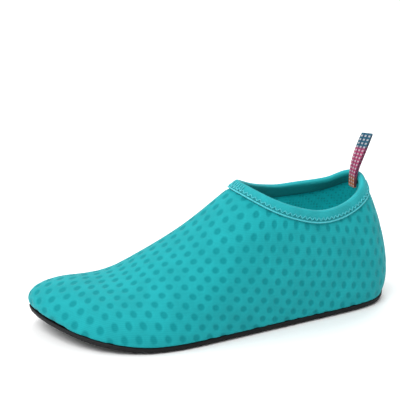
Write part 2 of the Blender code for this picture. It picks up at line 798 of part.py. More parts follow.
def main():
    for old in list(bpy.data.objects):
        bpy.data.objects.remove(old)
    build_outsole()
    build_insole()
    build_upper()
    skin = Skin()
    frames = collar_frames(skin)
    build_collar_binding(frames, skin)
    build_pull_loop(frames, skin)
    centre_in_plan()


main()
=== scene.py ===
"""Dresses the water shoe: dotted knit upper, lining, collar tape with its stitches, checked pull
loop, footbed and moulded rubber sole, on a pale floor. Lengths are in metres."""

import json
import math

import bpy
import numpy as np
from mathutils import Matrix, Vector
from mathutils.bvhtree import BVHTree
from mathutils.geometry import barycentric_transform

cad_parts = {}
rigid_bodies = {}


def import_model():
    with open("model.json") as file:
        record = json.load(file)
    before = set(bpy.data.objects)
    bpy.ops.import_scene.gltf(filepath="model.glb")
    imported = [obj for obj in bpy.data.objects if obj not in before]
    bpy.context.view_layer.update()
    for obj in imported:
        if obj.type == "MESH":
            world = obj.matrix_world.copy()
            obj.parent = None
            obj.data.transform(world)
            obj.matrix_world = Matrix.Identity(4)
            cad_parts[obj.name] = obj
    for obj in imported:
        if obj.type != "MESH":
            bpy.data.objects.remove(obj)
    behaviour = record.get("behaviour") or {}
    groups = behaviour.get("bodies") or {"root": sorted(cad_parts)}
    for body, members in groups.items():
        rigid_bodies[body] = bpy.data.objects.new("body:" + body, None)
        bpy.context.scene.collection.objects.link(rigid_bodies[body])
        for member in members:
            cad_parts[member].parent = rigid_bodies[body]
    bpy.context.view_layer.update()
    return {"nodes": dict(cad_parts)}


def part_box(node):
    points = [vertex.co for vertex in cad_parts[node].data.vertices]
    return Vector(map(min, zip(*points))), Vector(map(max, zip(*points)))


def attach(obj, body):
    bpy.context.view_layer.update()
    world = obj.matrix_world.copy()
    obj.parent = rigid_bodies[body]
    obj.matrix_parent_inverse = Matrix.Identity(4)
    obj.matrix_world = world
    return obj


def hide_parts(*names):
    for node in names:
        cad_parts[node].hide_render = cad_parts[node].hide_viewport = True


bl_info = {
    "name": "Water shoe",
    "version": (1, 0, 0),
    "blender": (4, 5, 0),
    "location": "View3D > Sidebar > Water shoe",
    "description": "Dresses the water shoe's solids in knit, tape, ribbon and rubber",
    "category": "Object",
}

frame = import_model()

# The photograph's size in pixels, and the width of the camera's sensor in millimetres.
IMAGE_SIZE = (400, 406)
SENSOR = 36.0
MILLIMETRE = 0.001
# Points of a solid's mesh that are nearer together than this are one.
SAME_POINT = 1e-5
# Sharp edges that stay when the mesh is subdivided: their least angle in degrees, and their crease.
UPPER_RIM = (58, 0.75)
LOOP_RIM = (50, 0.80)
FOOTBED_RIM = (40, 0.70)
# Soft edge of a dot, from full to gone, as shares of the dot's radius.
DOT_FULL = 0.55
DOT_GONE = 1.25
# How far the dots stray from their rows, and the knitted loop's width and height.
DOT_STRAY = 0.0006
WALE = 0.00075
COURSE = 0.00055
# Values of noise between which its blotches change from one shade to the other.
BLOTCHES = (0.3, 0.7)


class KnitSettings(bpy.types.PropertyGroup):
    """Dotted knit of the upper."""

    dot_along: bpy.props.FloatProperty(
        name="Dots along", description="From one dot to the next in a row",
        default=0.0075, unit="LENGTH")
    dot_rows: bpy.props.FloatProperty(
        name="Row pair", description="From a row of dots to the next row but one",
        default=0.0102, unit="LENGTH")
    dot_radius: bpy.props.FloatProperty(
        name="Dot radius", description="Middle of a dot to the middle of its soft edge",
        default=0.0019, unit="LENGTH")
    dot_depth: bpy.props.FloatProperty(
        name="Dot depth", description="How far a dot sinks into the knit",
        default=0.00022, unit="LENGTH")
    colour: bpy.props.FloatVectorProperty(
        name="Knit colour", description="Colour between the dots",
        default=(0.010, 0.300, 0.326), subtype="COLOR")
    dot_colour: bpy.props.FloatVectorProperty(
        name="Dot colour", description="Colour inside the dots",
        default=(0.002, 0.212, 0.234), subtype="COLOR")
    lining_colour: bpy.props.FloatVectorProperty(
        name="Lining colour", description="Colour of the inside",
        default=(0.008, 0.500, 0.530), subtype="COLOR")


class TapeSettings(bpy.types.PropertyGroup):
    """Collar tape and its stitches."""

    zigzag: bpy.props.FloatProperty(
        name="Zigzag", description="Length of one whole zigzag stitch along the collar",
        default=0.0027, unit="LENGTH")
    thread: bpy.props.FloatProperty(
        name="Thread", description="Radius of the sewing thread",
        default=0.00028, unit="LENGTH")
    piping: bpy.props.FloatProperty(
        name="Piping", description="Radius of the light cord at the tape's lower edge",
        default=0.00038, unit="LENGTH")
    flush: bpy.props.FloatProperty(
        name="Flush", description="How far the tape's lower edge is pulled down onto the knit",
        default=0.00045, unit="LENGTH")
    pinch: bpy.props.FloatProperty(
        name="Pinch", description="Depth of the trough that the seam pulls into the knit",
        default=0.00050, unit="LENGTH")
    colour: bpy.props.FloatVectorProperty(
        name="Tape colour", description="Colour of the collar tape",
        default=(0.020, 0.340, 0.370), subtype="COLOR")
    thread_colour: bpy.props.FloatVectorProperty(
        name="Thread colour", description="Colour of the zigzag and of the tack at the throat",
        default=(0.045, 0.420, 0.465), subtype="COLOR")
    piping_colour: bpy.props.FloatVectorProperty(
        name="Piping colour", description="Colour of the light cord",
        default=(0.060, 0.450, 0.500), subtype="COLOR")


class RibbonSettings(bpy.types.PropertyGroup):
    """Woven checks of the pull loop."""

    columns: bpy.props.IntProperty(
        name="Columns", description="Columns of checks across the ribbon", default=3)
    check: bpy.props.FloatProperty(
        name="Check", description="Height of one check", default=0.00175, unit="LENGTH")
    top_colour: bpy.props.FloatVectorProperty(
        name="Top colour", description="Checks at the fold",
        default=(0.016, 0.105, 0.160), subtype="COLOR")
    middle_colour: bpy.props.FloatVectorProperty(
        name="Middle colour", description="Checks along the middle",
        default=(0.400, 0.045, 0.130), subtype="COLOR")
    end_colour: bpy.props.FloatVectorProperty(
        name="End colour", description="Checks at the sewn end",
        default=(0.450, 0.130, 0.030), subtype="COLOR")
    pale_colour: bpy.props.FloatVectorProperty(
        name="Pale colour", description="Pale squares between the coloured ones",
        default=(0.520, 0.500, 0.540), subtype="COLOR")
    dark_colour: bpy.props.FloatVectorProperty(
        name="Dark colour", description="Dark threads between the columns",
        default=(0.020, 0.020, 0.075), subtype="COLOR")


class SoleSettings(bpy.types.PropertyGroup):
    """Rubber sole."""

    edge_round: bpy.props.FloatProperty(
        name="Edge round", description="Rounding of the moulded edges",
        default=0.00016, unit="LENGTH")
    pebble: bpy.props.FloatProperty(
        name="Pebble pitch", description="From one pebble to the next on a pebbled pad",
        default=0.00175, unit="LENGTH")
    pebble_height: bpy.props.FloatProperty(
        name="Pebble height", description="How far the pebbles stand out of their sunk pad",
        default=0.00028, unit="LENGTH")
    stud_radius: bpy.props.FloatProperty(
        name="Stud radius", description="Radius of the ring studs under the toes",
        default=0.0016, unit="LENGTH")
    colour: bpy.props.FloatVectorProperty(
        name="Rubber colour", description="Colour of the rubber",
        default=(0.006, 0.006, 0.0065), subtype="COLOR")


class StageSettings(bpy.types.PropertyGroup):
    """Camera, light and floor."""

    eye: bpy.props.FloatVectorProperty(
        name="Camera place", description="Where the camera stands",
        default=(0.24911, 0.60164, 0.24076), subtype="TRANSLATION")
    aim: bpy.props.FloatVectorProperty(
        name="Camera aim", description="What the camera looks at",
        default=(0.007757, -0.007875, 0.055834), subtype="TRANSLATION")
    focal_pixels: bpy.props.FloatProperty(
        name="Focal length", description="Focal length in pixels of the picture",
        default=1421.0)
    floor_colour: bpy.props.FloatVectorProperty(
        name="Floor colour", description="Colour of the pale floor",
        default=(0.900, 0.905, 0.905), subtype="COLOR")


def deselect():
    if bpy.context.mode != "OBJECT":
        bpy.ops.object.mode_set(mode="OBJECT")
    bpy.ops.object.select_all(action="DESELECT")


def make_active(piece):
    deselect()
    piece.select_set(True)
    bpy.context.view_layer.objects.active = piece


def edit(piece, elements="VERT"):
    make_active(piece)
    bpy.ops.object.mode_set(mode="EDIT")
    bpy.ops.mesh.select_mode(type=elements)
    bpy.ops.mesh.select_all(action="DESELECT")
    bpy.ops.object.mode_set(mode="OBJECT")


def in_edit(piece):
    bpy.context.view_layer.objects.active = piece
    bpy.ops.object.mode_set(mode="EDIT")


def copy_of(node, name):
    """A copy of a solid's mesh with its points merged and its triangles paired into quads."""
    piece = bpy.data.objects.new(name, frame["nodes"][node].data.copy())
    piece.data.name = name
    piece.data.materials.clear()
    bpy.context.scene.collection.objects.link(piece)
    make_active(piece)
    if piece.data.has_custom_normals:
        bpy.ops.mesh.customdata_custom_splitnormals_clear()
    in_edit(piece)
    bpy.ops.mesh.select_all(action="SELECT")
    bpy.ops.mesh.remove_doubles(threshold=SAME_POINT)
    bpy.ops.mesh.tris_convert_to_quads(face_threshold=math.radians(50), shape_threshold=math.radians(60))
    deselect()
    return piece


def apply_modifier(piece, kind, **settings):
    make_active(piece)
    modifier = piece.modifiers.new(kind.title(), kind)
    for key, value in settings.items():
        setattr(modifier, key, value)
    bpy.ops.object.modifier_apply(modifier=modifier.name)


def subdivide_smoothly(piece, levels):
    apply_modifier(piece, "SUBSURF", levels=levels, render_levels=levels, uv_smooth="PRESERVE_BOUNDARIES")


def crease_rims(piece, angle, crease, seams=False):
    """Creases the sharp edges, and marks them as seams where asked."""
    edit(piece, "EDGE")
    in_edit(piece)
    bpy.ops.mesh.edges_select_sharp(sharpness=math.radians(angle))
    if seams:
        bpy.ops.mesh.mark_seam(clear=False)
    bpy.ops.transform.edge_crease(value=crease)
    deselect()


def smooth(piece, angle=None):
    """Shades the piece smooth, at its edges under an angle in degrees or at all of them."""
    make_active(piece)
    if angle is None:
        bpy.ops.object.shade_smooth()
    else:
        bpy.ops.object.shade_smooth_by_angle(angle=math.radians(angle))


def new_map(mesh, name):
    """Empties the mesh of its maps and gives it one of this name."""
    while mesh.uv_layers:
        mesh.uv_layers.remove(mesh.uv_layers[0])
    return mesh.uv_layers.new(name=name).data


def tree_of(mesh, faces):
    """A search tree of these faces of the mesh."""
    places = [vert.co.copy() for vert in mesh.vertices]
    return BVHTree.FromPolygons(places, [tuple(face.vertices) for face in faces])


def points_of(mesh):
    points = np.empty(len(mesh.vertices) * 3)
    mesh.vertices.foreach_get("co", points)
    return points.reshape(-1, 3)


def finish_piece(piece, material, slot, *nodes):
    """Gives the piece its material, its body and the solids that it stands for. The slot is not used."""
    if material is not None:
        piece.data.materials.clear()
        piece.data.materials.append(material)
    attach(piece, "root")
    if nodes:
        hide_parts(*nodes)
    deselect()


def new_material(name, roughness, **inputs):
    material = bpy.data.materials.new(name)
    material.use_nodes = True
    shader = material.node_tree.nodes["Principled BSDF"]
    shader.inputs["Roughness"].default_value = roughness
    for key, value in inputs.items():
        shader.inputs[key.replace("_", " ")].default_value = value
    return material, material.node_tree, shader


def add(tree, kind, inputs=None, **settings):
    """A shader node with its settings, and its inputs set to numbers or linked to sockets."""
    made = tree.nodes.new("ShaderNode" + kind)
    for key, value in settings.items():
        setattr(made, key, value)
    for key, value in (inputs or {}).items():
        if isinstance(value, bpy.types.NodeSocket):
            tree.links.new(value, made.inputs[key])
        else:
            made.inputs[key].default_value = value
    return made


def math_node(tree, operation, first, second=0.0, third=0.0):
    return add(tree, "Math", {0: first, 1: second, 2: third}, operation=operation).outputs[0]


def vector_node(tree, operation, first, second=(0, 0, 0)):
    made = add(tree, "VectorMath", {0: first, 1: second}, operation=operation)
    return made.outputs["Value" if operation == "LENGTH" else "Vector"]


def mix_colour(tree, share, first, second, blend="MIX"):
    made = add(tree, "Mix", data_type="RGBA", blend_type=blend)
    for socket, value in zip([made.inputs[0], made.inputs[6], made.inputs[7]], [share, first, second]):
        if isinstance(value, bpy.types.NodeSocket):
            tree.links.new(value, socket)
        elif isinstance(value, (int, float)):
            socket.default_value = value
        else:
            socket.default_value = (*value[:3], 1)
    return made.outputs[2]


def from_to(tree, value, low, high, to_low=0.0, to_high=1.0):
    """Carries the value smoothly from the range low to high over to the range to_low to to_high."""
    inputs = {"Value": value, "From Min": low, "From Max": high, "To Min": to_low, "To Max": to_high}
    return add(tree, "MapRange", inputs, interpolation_type="SMOOTHSTEP").outputs["Result"]


def noise(tree, coords, size, detail=3.0, roughness=0.5):
    """Noise whose blotches are about size across."""
    inputs = {"Vector": coords, "Scale": 1 / size, "Detail": detail, "Roughness": roughness}
    return add(tree, "TexNoise", inputs).outputs["Fac"]


def bump(tree, shader, *layers):
    """Stacks (height, depth in metres) layers of bump on the shader."""
    normal = None
    for height, depth in layers:
        inputs = {"Height": height, "Distance": depth, "Strength": 1.0}
        if normal is not None:
            inputs["Normal"] = normal
        normal = add(tree, "Bump", inputs).outputs["Normal"]
    tree.links.new(normal, shader.inputs["Normal"])


def shade_by(tree, colour, factor):
    """The colour times a factor that is the same for red, green and blue."""
    grey = add(tree, "CombineColor", {0: factor, 1: factor, 2: factor}).outputs[0]
    return mix_colour(tree, 1.0, colour, grey, "MULTIPLY")


def between_shades(tree, share, colour, first, second):
    """Mixes two shades of a colour, each one a factor times it."""
    return mix_colour(tree, share, [c * first for c in colour], [min(c * second, 1) for c in colour])


def object_coords(tree):
    return add(tree, "TexCoord").outputs["Object"]


def link(tree, socket, shader, name):
    tree.links.new(socket, shader.inputs[name])


def dot_distance(knit, points):
    """Distance from each map place to the middle of its nearest dot."""
    cell = np.array([knit.dot_along, knit.dot_rows])
    apart = [((points / cell + shift) % 1 - 0.5) * cell for shift in (0.0, 0.5)]
    return np.minimum(*[np.linalg.norm(gap, axis=1) for gap in apart])


def dot_distance_nodes(tree, knit, uv):
    """The same distance, worked out by shader nodes."""
    cell = (knit.dot_along, knit.dot_rows, 1.0)
    place = vector_node(tree, "DIVIDE", uv, cell)
    lengths = []
    for shift in (0.0, 0.5):
        moved = vector_node(tree, "ADD", place, (shift, shift, 0))
        share = vector_node(tree, "FRACTION", moved)
        centred = vector_node(tree, "SUBTRACT", share, (0.5, 0.5, 0))
        lengths.append(vector_node(tree, "LENGTH", vector_node(tree, "MULTIPLY", centred, cell)))
    return math_node(tree, "MINIMUM", *lengths)


def knit_loops(tree, coords, wale, course):
    """Height of knitted loops: wales along one axis, courses across them, slanted like V stitches."""
    parts = add(tree, "SeparateXYZ", {0: coords})
    across = math_node(tree, "MULTIPLY", parts.outputs[1], 2 * math.pi / wale)
    lean = math_node(tree, "MULTIPLY", math_node(tree, "COSINE", across), 0.9)
    along = math_node(tree, "MULTIPLY_ADD", parts.outputs[0], 2 * math.pi / course, lean)
    loops = math_node(tree, "SINE", along)
    ridges = math_node(tree, "ABSOLUTE", math_node(tree, "SINE", math_node(tree, "MULTIPLY", across, 0.5)))
    return math_node(tree, "MULTIPLY_ADD", loops, 0.35, ridges)


def knit_material(knit):
    """Dotted stretch knit on the upper's own map."""
    made, tree, shader = new_material(
        "dotted knit", 0.8, Specular_IOR_Level=0.08, Sheen_Weight=0.10, Sheen_Roughness=0.35,
        Sheen_Tint=(0.75, 1.0, 1.0, 1))
    uv = add(tree, "UVMap", uv_map="knit").outputs[0]
    mottle = noise(tree, object_coords(tree), 0.012)
    waves = add(tree, "TexNoise", {"Vector": uv, "Scale": 260.0}).outputs["Color"]
    stray = vector_node(tree, "MULTIPLY", waves, (DOT_STRAY, DOT_STRAY, 0))
    apart = dot_distance_nodes(tree, knit, vector_node(tree, "ADD", uv, stray))
    dots = from_to(tree, apart, knit.dot_radius * DOT_FULL, knit.dot_radius * DOT_GONE, 1.0, 0.0)
    ground = between_shades(tree, from_to(tree, mottle, *BLOTCHES), knit.colour, 0.93, 1.05)
    loops = knit_loops(tree, uv, WALE, COURSE)
    threads = from_to(tree, loops, 0.0, 1.2, 0.93, 1.02)
    coloured = mix_colour(tree, math_node(tree, "MULTIPLY", dots, 0.88), ground, knit.dot_colour)
    link(tree, shade_by(tree, coloured, threads), shader, "Base Color")
    link(tree, from_to(tree, loops, 0.0, 1.0, 0.82, 0.66), shader, "Roughness")
    bump(tree, shader, (dots, -0.00010), (loops, 0.00003), (noise(tree, uv, 0.0004), 0.00002))
    return made


def lining_material(knit):
    """Cloth of fine meshes."""
    made, tree, shader = new_material("lining mesh", 0.9, Specular_IOR_Level=0.1, Sheen_Weight=0.03)
    coords = object_coords(tree)
    inputs = {"Vector": coords, "Scale": 620.0, "Randomness": 0.25}
    cells = add(tree, "TexVoronoi", inputs).outputs["Distance"]
    mottle = noise(tree, coords, 0.015)
    colour = between_shades(tree, from_to(tree, mottle, *BLOTCHES), knit.lining_colour, 1, 1.25)
    holes = from_to(tree, cells, 0.15, 0.45, 0.72, 1.05)
    link(tree, shade_by(tree, colour, holes), shader, "Base Color")
    bump(tree, shader, (cells, 0.00012))
    return made


# A face whose normal points forward by more than this looks to the toe. The wall's edge under the foot
# lies lower than the first of these heights, and its edge at the collar higher than the second.
FORWARD = 0.6
UNDERFOOT = 0.02
COLLAR = 0.05


def outer_skin(piece):
    """The faces of the wall's outside, which its seams part from the lining."""
    edit(piece, "FACE")
    mesh = piece.data
    middles = np.array([face.center for face in mesh.polygons])
    facing = np.array([face.normal[0] for face in mesh.polygons])
    toe = np.where((facing > FORWARD) & (middles[:, 0] > 0), middles[:, 0], -1)
    mesh.polygons[int(np.argmax(toe))].select = True
    in_edit(piece)
    bpy.ops.mesh.select_linked(delimit={"SEAM"})
    bpy.ops.object.mode_set(mode="OBJECT")
    return [face.index for face in mesh.polygons if face.select]


def mark_heel_seam(piece, outer_faces):
    """A seam up the back of the heel, where the flat cut of the knit is joined."""
    mesh = piece.data
    used = {index for face in outer_faces for index in mesh.polygons[face].vertices}
    borders = {}
    for edge in mesh.edges:
        if edge.use_seam:
            for index in edge.vertices:
                if index in used:
                    borders[index] = mesh.vertices[index].co
    low = min((i for i in borders if borders[i].z < UNDERFOOT), key=lambda i: borders[i].x)
    high = min((i for i in borders if borders[i].z > COLLAR), key=lambda i: borders[i].x)
    edit(piece, "VERT")
    mesh.vertices[low].select = True
    mesh.vertices[high].select = True
    in_edit(piece)
    bpy.ops.mesh.shortest_path_select(edge_mode="SELECT", use_topology_distance=True)
    bpy.ops.mesh.mark_seam(clear=False)
    bpy.ops.object.mode_set(mode="OBJECT")


def unwrap(piece, faces, name):
    """Flattens these faces. Returns the flat place of every corner of the mesh."""
    mesh = piece.data
    new_map(mesh, name)
    edit(piece, "FACE")
    for index in faces:
        mesh.polygons[index].select = True
    in_edit(piece)
    bpy.ops.uv.unwrap(method="MINIMUM_STRETCH", margin=0.0, iterations=60)
    bpy.ops.object.mode_set(mode="OBJECT")
    layer = mesh.uv_layers[name].data
    return np.array([corner.uv for corner in layer])


# Dots of the knit charted one by one: where each one lies on the outer side, in millimetres, with the
# dots counted along their row towards the heel and the rows counted downwards.
KNIT_CHART = [
    # forward, aside, up, dot, row
    (-78.5, 9.0, 43.0, 13.0, -6),
    (-74.0, 16.0, 22.5, 12.0, -2),
    (-53.0, 19.0, 43.5, 8.5, -5),
    (-32.0, 25.0, 30.5, 5.0, -2),
    (-29.0, 23.0, 49.0, 4.5, -5),
    (-15.0, 15.0, 60.0, 1.5, -7),
    (-2.5, 10.0, 57.0, -0.5, -7),
    (9.0, 25.5, 36.5, -1.0, -2),
    (18.5, 8.0, 43.5, -3.5, -5),
    (19.5, 34.5, 4.0, -2.0, 6),
    (54.0, 27.5, 17.5, -7.0, 4),
    (64.5, 14.5, 22.0, -9.0, 2),
    (69.0, 26.5, 11.5, -9.5, 5),
    (85.0, 1.0, 19.5, -12.5, 1),
]


def bending(distance):
    """Weight of a charted place at this distance from it."""
    return np.where(distance > 0, distance**2 * np.log(np.maximum(distance, 1e-9)), 0.0)


def spread(charted, values, places):
    """Values at all places, on the smoothest sheet that holds the charted values."""
    count = len(charted)
    between = bending(np.linalg.norm(charted[:, None] - charted[None], axis=2))
    plane = np.column_stack([np.ones(count), charted])
    system = np.block([[between, plane], [plane.T, np.zeros((3, 3))]])
    solved = np.linalg.solve(system, np.vstack([values, np.zeros((3, 2))]))
    near = bending(np.linalg.norm(places[:, None] - charted[None], axis=2))
    return near @ solved[:count] + np.column_stack([np.ones(len(places)), places]) @ solved[count:]


def chart_knit(piece, faces, name, knit):
    """Lays the knit's rows over the flattened faces as charted. The map is in metres of knit."""
    flat = unwrap(piece, faces, name)
    mesh = piece.data
    triangles = []
    for index in faces:
        first, *others = mesh.polygons[index].loop_indices
        triangles += [(first, second, third) for second, third in zip(others, others[1:])]
    places = [mesh.vertices[loop.vertex_index].co.copy() for loop in mesh.loops]
    corners = [[places[k] for k in loops] for loops in triangles]
    tree = BVHTree.FromPolygons([place for three in corners for place in three],
                                [(3 * k, 3 * k + 1, 3 * k + 2) for k in range(len(corners))])
    charted = []
    for forward, aside, up, _, _ in KNIT_CHART:
        place, _, index, _ = tree.find_nearest(Vector((forward, aside, up)) * MILLIMETRE)
        maps = [Vector((*flat[k], 0)) for k in triangles[index]]
        charted.append(barycentric_transform(place, *corners[index], *maps)[:2])
    counted = spread(np.array(charted), np.array([row[3:] for row in KNIT_CHART], float), flat)
    rows = counted * (knit.dot_along, knit.dot_rows / 2)
    mesh.uv_layers[name].data.foreach_set("uv", rows.astype(np.float32).ravel())


# The throat along the shoe, how near to it the two columns of points lie that become one, how far apart
# their points are at most, and the least length of an edge there that is no real rim.
THROAT = -0.0105
NARROW_COLUMN = 0.0004
NARROW_APART = 0.0026
NARROW_RIM = 0.0010


class SHOE_OT_upper(bpy.types.Operator):
    """Upper of dotted knit with the dots sunk into it, and its lining"""

    bl_idname = "shoe.upper"
    bl_label = "Upper"

    def execute(self, context):
        knit = context.scene.shoe_knit
        piece = copy_of("upper", "upper_knit")
        crease_rims(piece, *UPPER_RIM, seams=True)
        self.close_narrow_column(piece)
        outer = outer_skin(piece)
        mark_heel_seam(piece, outer)
        chart_knit(piece, outer, "knit", knit)
        mesh = piece.data
        mesh.materials.append(knit_material(knit))
        mesh.materials.append(lining_material(knit))
        for face in mesh.polygons:
            face.material_index = 1
        for index in outer:
            mesh.polygons[index].material_index = 0
        subdivide_smoothly(piece, 2)
        edit(piece, "FACE")
        for face in piece.data.polygons:
            face.select = face.material_index == 0
        in_edit(piece)
        bpy.ops.mesh.subdivide(number_cuts=1, smoothness=0.0)
        deselect()
        self.sink_dots(piece, knit)
        smooth(piece)
        finish_piece(piece, None, "upper_knit", "upper")
        return {"FINISHED"}

    def close_narrow_column(self, piece):
        """Merges the two columns of points just behind the throat, whose slivers are no real rims."""
        mesh = piece.data
        edit(piece, "EDGE")
        for edge in mesh.edges:
            ends = [mesh.vertices[index].co for index in edge.vertices]
            inside = all(abs(end.x - THROAT) < NARROW_COLUMN for end in ends)
            edge.select = inside and (ends[1] - ends[0]).length > NARROW_RIM
        in_edit(piece)
        bpy.ops.mesh.mark_seam(clear=True)
        bpy.ops.transform.edge_crease(value=-1)
        bpy.ops.object.mode_set(mode="OBJECT")
        used = {index for face in outer_skin(piece) for index in mesh.polygons[face].vertices}
        used -= {index for edge in mesh.edges if edge.use_seam for index in edge.vertices}
        edit(piece)
        for index in used:
            mesh.vertices[index].select = abs(mesh.vertices[index].co.x - THROAT) < NARROW_COLUMN
        in_edit(piece)
        bpy.ops.mesh.remove_doubles(threshold=NARROW_APART)
        deselect()

    def sink_dots(self, piece, knit):
        """Presses the dots into the outer skin, softly at their edges."""
        mesh = piece.data
        layer = mesh.uv_layers["knit"].data
        apart = dot_distance(knit, np.array([corner.uv for corner in layer]))
        depth = np.clip((DOT_GONE - apart / knit.dot_radius) / (DOT_GONE - DOT_FULL), 0, 1)
        depth = depth * depth * (3 - 2 * depth)
        group = piece.vertex_groups.new(name="dots")
        done = set()
        for face in mesh.polygons:
            if face.material_index:
                continue
            for k in face.loop_indices:
                index = mesh.loops[k].vertex_index
                if index not in done and depth[k] > 0:
                    done.add(index)
                    group.add([index], float(depth[k]), "REPLACE")
        apply_modifier(piece, "DISPLACE", strength=-knit.dot_depth, mid_level=0.0, vertex_group="dots")


def cut_through(points, corners, origin, square_to):
    """Both ends of each line that a plane through the origin cuts out of the triangles. A point's
    columns after the third are carried along."""
    side = (points[:, :3] - origin) @ square_to
    ends = []
    for triangle in corners[np.ptp(np.sign(side[corners]), axis=1) > 0]:
        pair = []
        for i, j in zip(triangle, np.roll(triangle, -1)):
            if side[i] * side[j] < 0:
                pair.append(points[i] + (points[j] - points[i]) * side[i] / (side[i] - side[j]))
        if len(pair) == 2:
            ends.append(pair)
    return np.array(ends)


def soften(line, reach=4):
    """A closed line of points, each one the mean of its neighbours."""
    return np.mean([np.roll(line, shift, axis=0) for shift in range(-reach, reach + 1)], axis=0)


def unit(ways):
    return ways / np.linalg.norm(ways, axis=-1, keepdims=True)


def outward_of_wall(points):
    """How much nearer each point is to the knit's outer skin than to the lining."""
    knit = bpy.data.objects["upper_knit"].data
    skin, lining = (tree_of(knit, [face for face in knit.polygons if face.material_index == index])
                    for index in (0, 1))
    return np.array([lining.find_nearest(point)[3] - skin.find_nearest(point)[3]
                     for point in map(Vector, points)])


# A point of the tape this much nearer to the knit's outer skin than to the lining is on the outer leg.
OUTER_LEG = 0.0006
# The lowest place on a cut's outer face, and the step over which its slope is taken, as shares of the
# face's height.
LOWEST = 0.01
SLOPE_STEP = 0.08
# How many cuts go round the collar, how far from its crest they reach, and the share of the tape's
# height above which a point's leg is told by the side of the crest that it lies on.
CUTS = 240
CUT_REACH = 0.012
NEAR_CREST = 0.7


class CollarCut:
    """The tape's outline square to the collar: how deep each point is below the crest, and how far out."""

    def __init__(self, ends, crest, down, out):
        self.crest, self.down, self.out = crest, down, out
        offset = ends[:, :, :3] - crest
        self.deep, self.far = offset @ down, offset @ out
        self.top = float(self.deep.min())
        self.middle = float(self.far.ravel()[int(self.deep.argmin())])
        self.low = float(self.deep[ends[:, :, 3] > OUTER_LEG].max())

    def reach(self, deep):
        """How far out the tape's outer face stands at this depth."""
        least, most = self.deep.min(axis=1), self.deep.max(axis=1)
        crossed = (least <= deep) & (deep <= most) & (most > least)
        ends, far = self.deep[crossed], self.far[crossed]
        share = (deep - ends[:, 0]) / (ends[:, 1] - ends[:, 0])
        return float((far[:, 0] + share * (far[:, 1] - far[:, 0])).max())

    def outside(self, share, proud):
        """A point share of the way up the outer face, and proud of it."""
        height = self.low - self.top
        deep = self.low - max(share, LOWEST) * height
        step = SLOPE_STEP * height
        rise = self.reach(deep - step) - self.reach(deep)
        facing = np.array([rise, step]) / math.hypot(rise, step)
        place = self.crest + self.down * (deep + facing[0] * proud)
        return Vector(place + self.out * (self.reach(deep) + facing[1] * proud))


class Collar:
    """The tape all the way round: a place on it is a length from the throat and a share of its height."""

    def __init__(self, mesh, middle):
        mesh.calc_loop_triangles()
        points = points_of(mesh)
        self.outward = outward_of_wall(points)
        points = np.column_stack([points, self.outward])
        corners = np.array([triangle.vertices for triangle in mesh.loop_triangles])
        crest = []
        for turn in np.arange(CUTS) * 2 * math.pi / CUTS:
            ahead = np.array([math.cos(turn), math.sin(turn), 0])
            ends = cut_through(points, corners, middle, np.array([-ahead[1], ahead[0], 0]))
            ends = ends[:, :, :3].reshape(-1, 3)
            ends = ends[(ends - middle) @ ahead > 0]
            crest.append(ends[int(ends[:, 2].argmax())])
        self.crest = soften(np.array(crest))
        along = unit(np.roll(self.crest, -1, axis=0) - np.roll(self.crest, 1, axis=0))
        outlines = []
        down = []
        for place, way in zip(self.crest, along):
            ends = cut_through(points, corners, place, way)
            ends = ends[np.linalg.norm(ends[:, :, :3] - place, axis=2).max(axis=1) < CUT_REACH]
            outlines.append(ends)
            ends = ends[:, :, :3]
            weight = np.linalg.norm(ends[:, 1] - ends[:, 0], axis=1)
            down.append((ends.mean(axis=1) * weight[:, None]).sum(axis=0) / weight.sum() - place)
        down = soften(unit(np.array(down)))
        down = unit(down - (down * along).sum(axis=1, keepdims=True) * along)
        self.along, self.down = along, down
        self.out = np.cross(down, along)
        self.cuts = [CollarCut(*cut) for cut in zip(outlines, self.crest, self.down, self.out)]
        line = np.array([cut.outside(0.1, 0.0) for cut in self.cuts])
        self.gaps = np.linalg.norm(np.roll(line, -1, axis=0) - line, axis=1)
        self.travelled = np.concatenate([[0], np.cumsum(self.gaps)])
        self.length = float(self.travelled[-1])

    def place(self, travelled, share, proud):
        """A point of the outer face, this far from the throat along the collar."""
        travelled = travelled % self.length
        index = int(np.searchsorted(self.travelled, travelled, side="right")) - 1
        part = (travelled - self.travelled[index]) / self.gaps[index]
        first, second = self.cuts[index], self.cuts[(index + 1) % len(self.cuts)]
        return first.outside(share, proud).lerp(second.outside(share, proud), part)

    def line(self, share, proud):
        """The whole way round at one share of the tape's height."""
        return [cut.outside(share, proud) for cut in self.cuts]

    def up_at(self, points, index):
        """0 to 1 up the outer leg, and 1 to 2 down the inner one, in the cuts of these numbers."""
        cuts = [self.cuts[k] for k in index]
        low, top, middle = np.array([(cut.low, cut.top, cut.middle) for cut in cuts]).T
        offset = points - self.crest[index]
        up = (low - (offset * self.down[index]).sum(axis=1)) / (low - top)
        outer = np.where(up > NEAR_CREST, (offset * self.out[index]).sum(axis=1) > middle, self.outward > 0)
        return np.where(outer, up, 2 - up)

    def map_of(self, points):
        """Each point's length from the throat, its way up and over, and its direction out. The points
        are those of the tape's own mesh."""
        first = np.linalg.norm(points[:, None] - self.crest[None], axis=2).argmin(axis=1)
        ahead = ((points - self.crest[first]) * self.along[first]).sum(axis=1)
        second = (first + np.where(ahead > 0, 1, -1)) % len(self.cuts)
        beyond = ((points - self.crest[second]) * self.along[second]).sum(axis=1)
        part = np.abs(ahead) / (np.abs(ahead) + np.abs(beyond))
        gap = np.where(ahead > 0, self.gaps[first], -self.gaps[second])
        travelled = (self.travelled[first] + part * gap) % self.length
        up = self.up_at(points, first) * (1 - part) + self.up_at(points, second) * part
        return travelled, up, self.out[first]


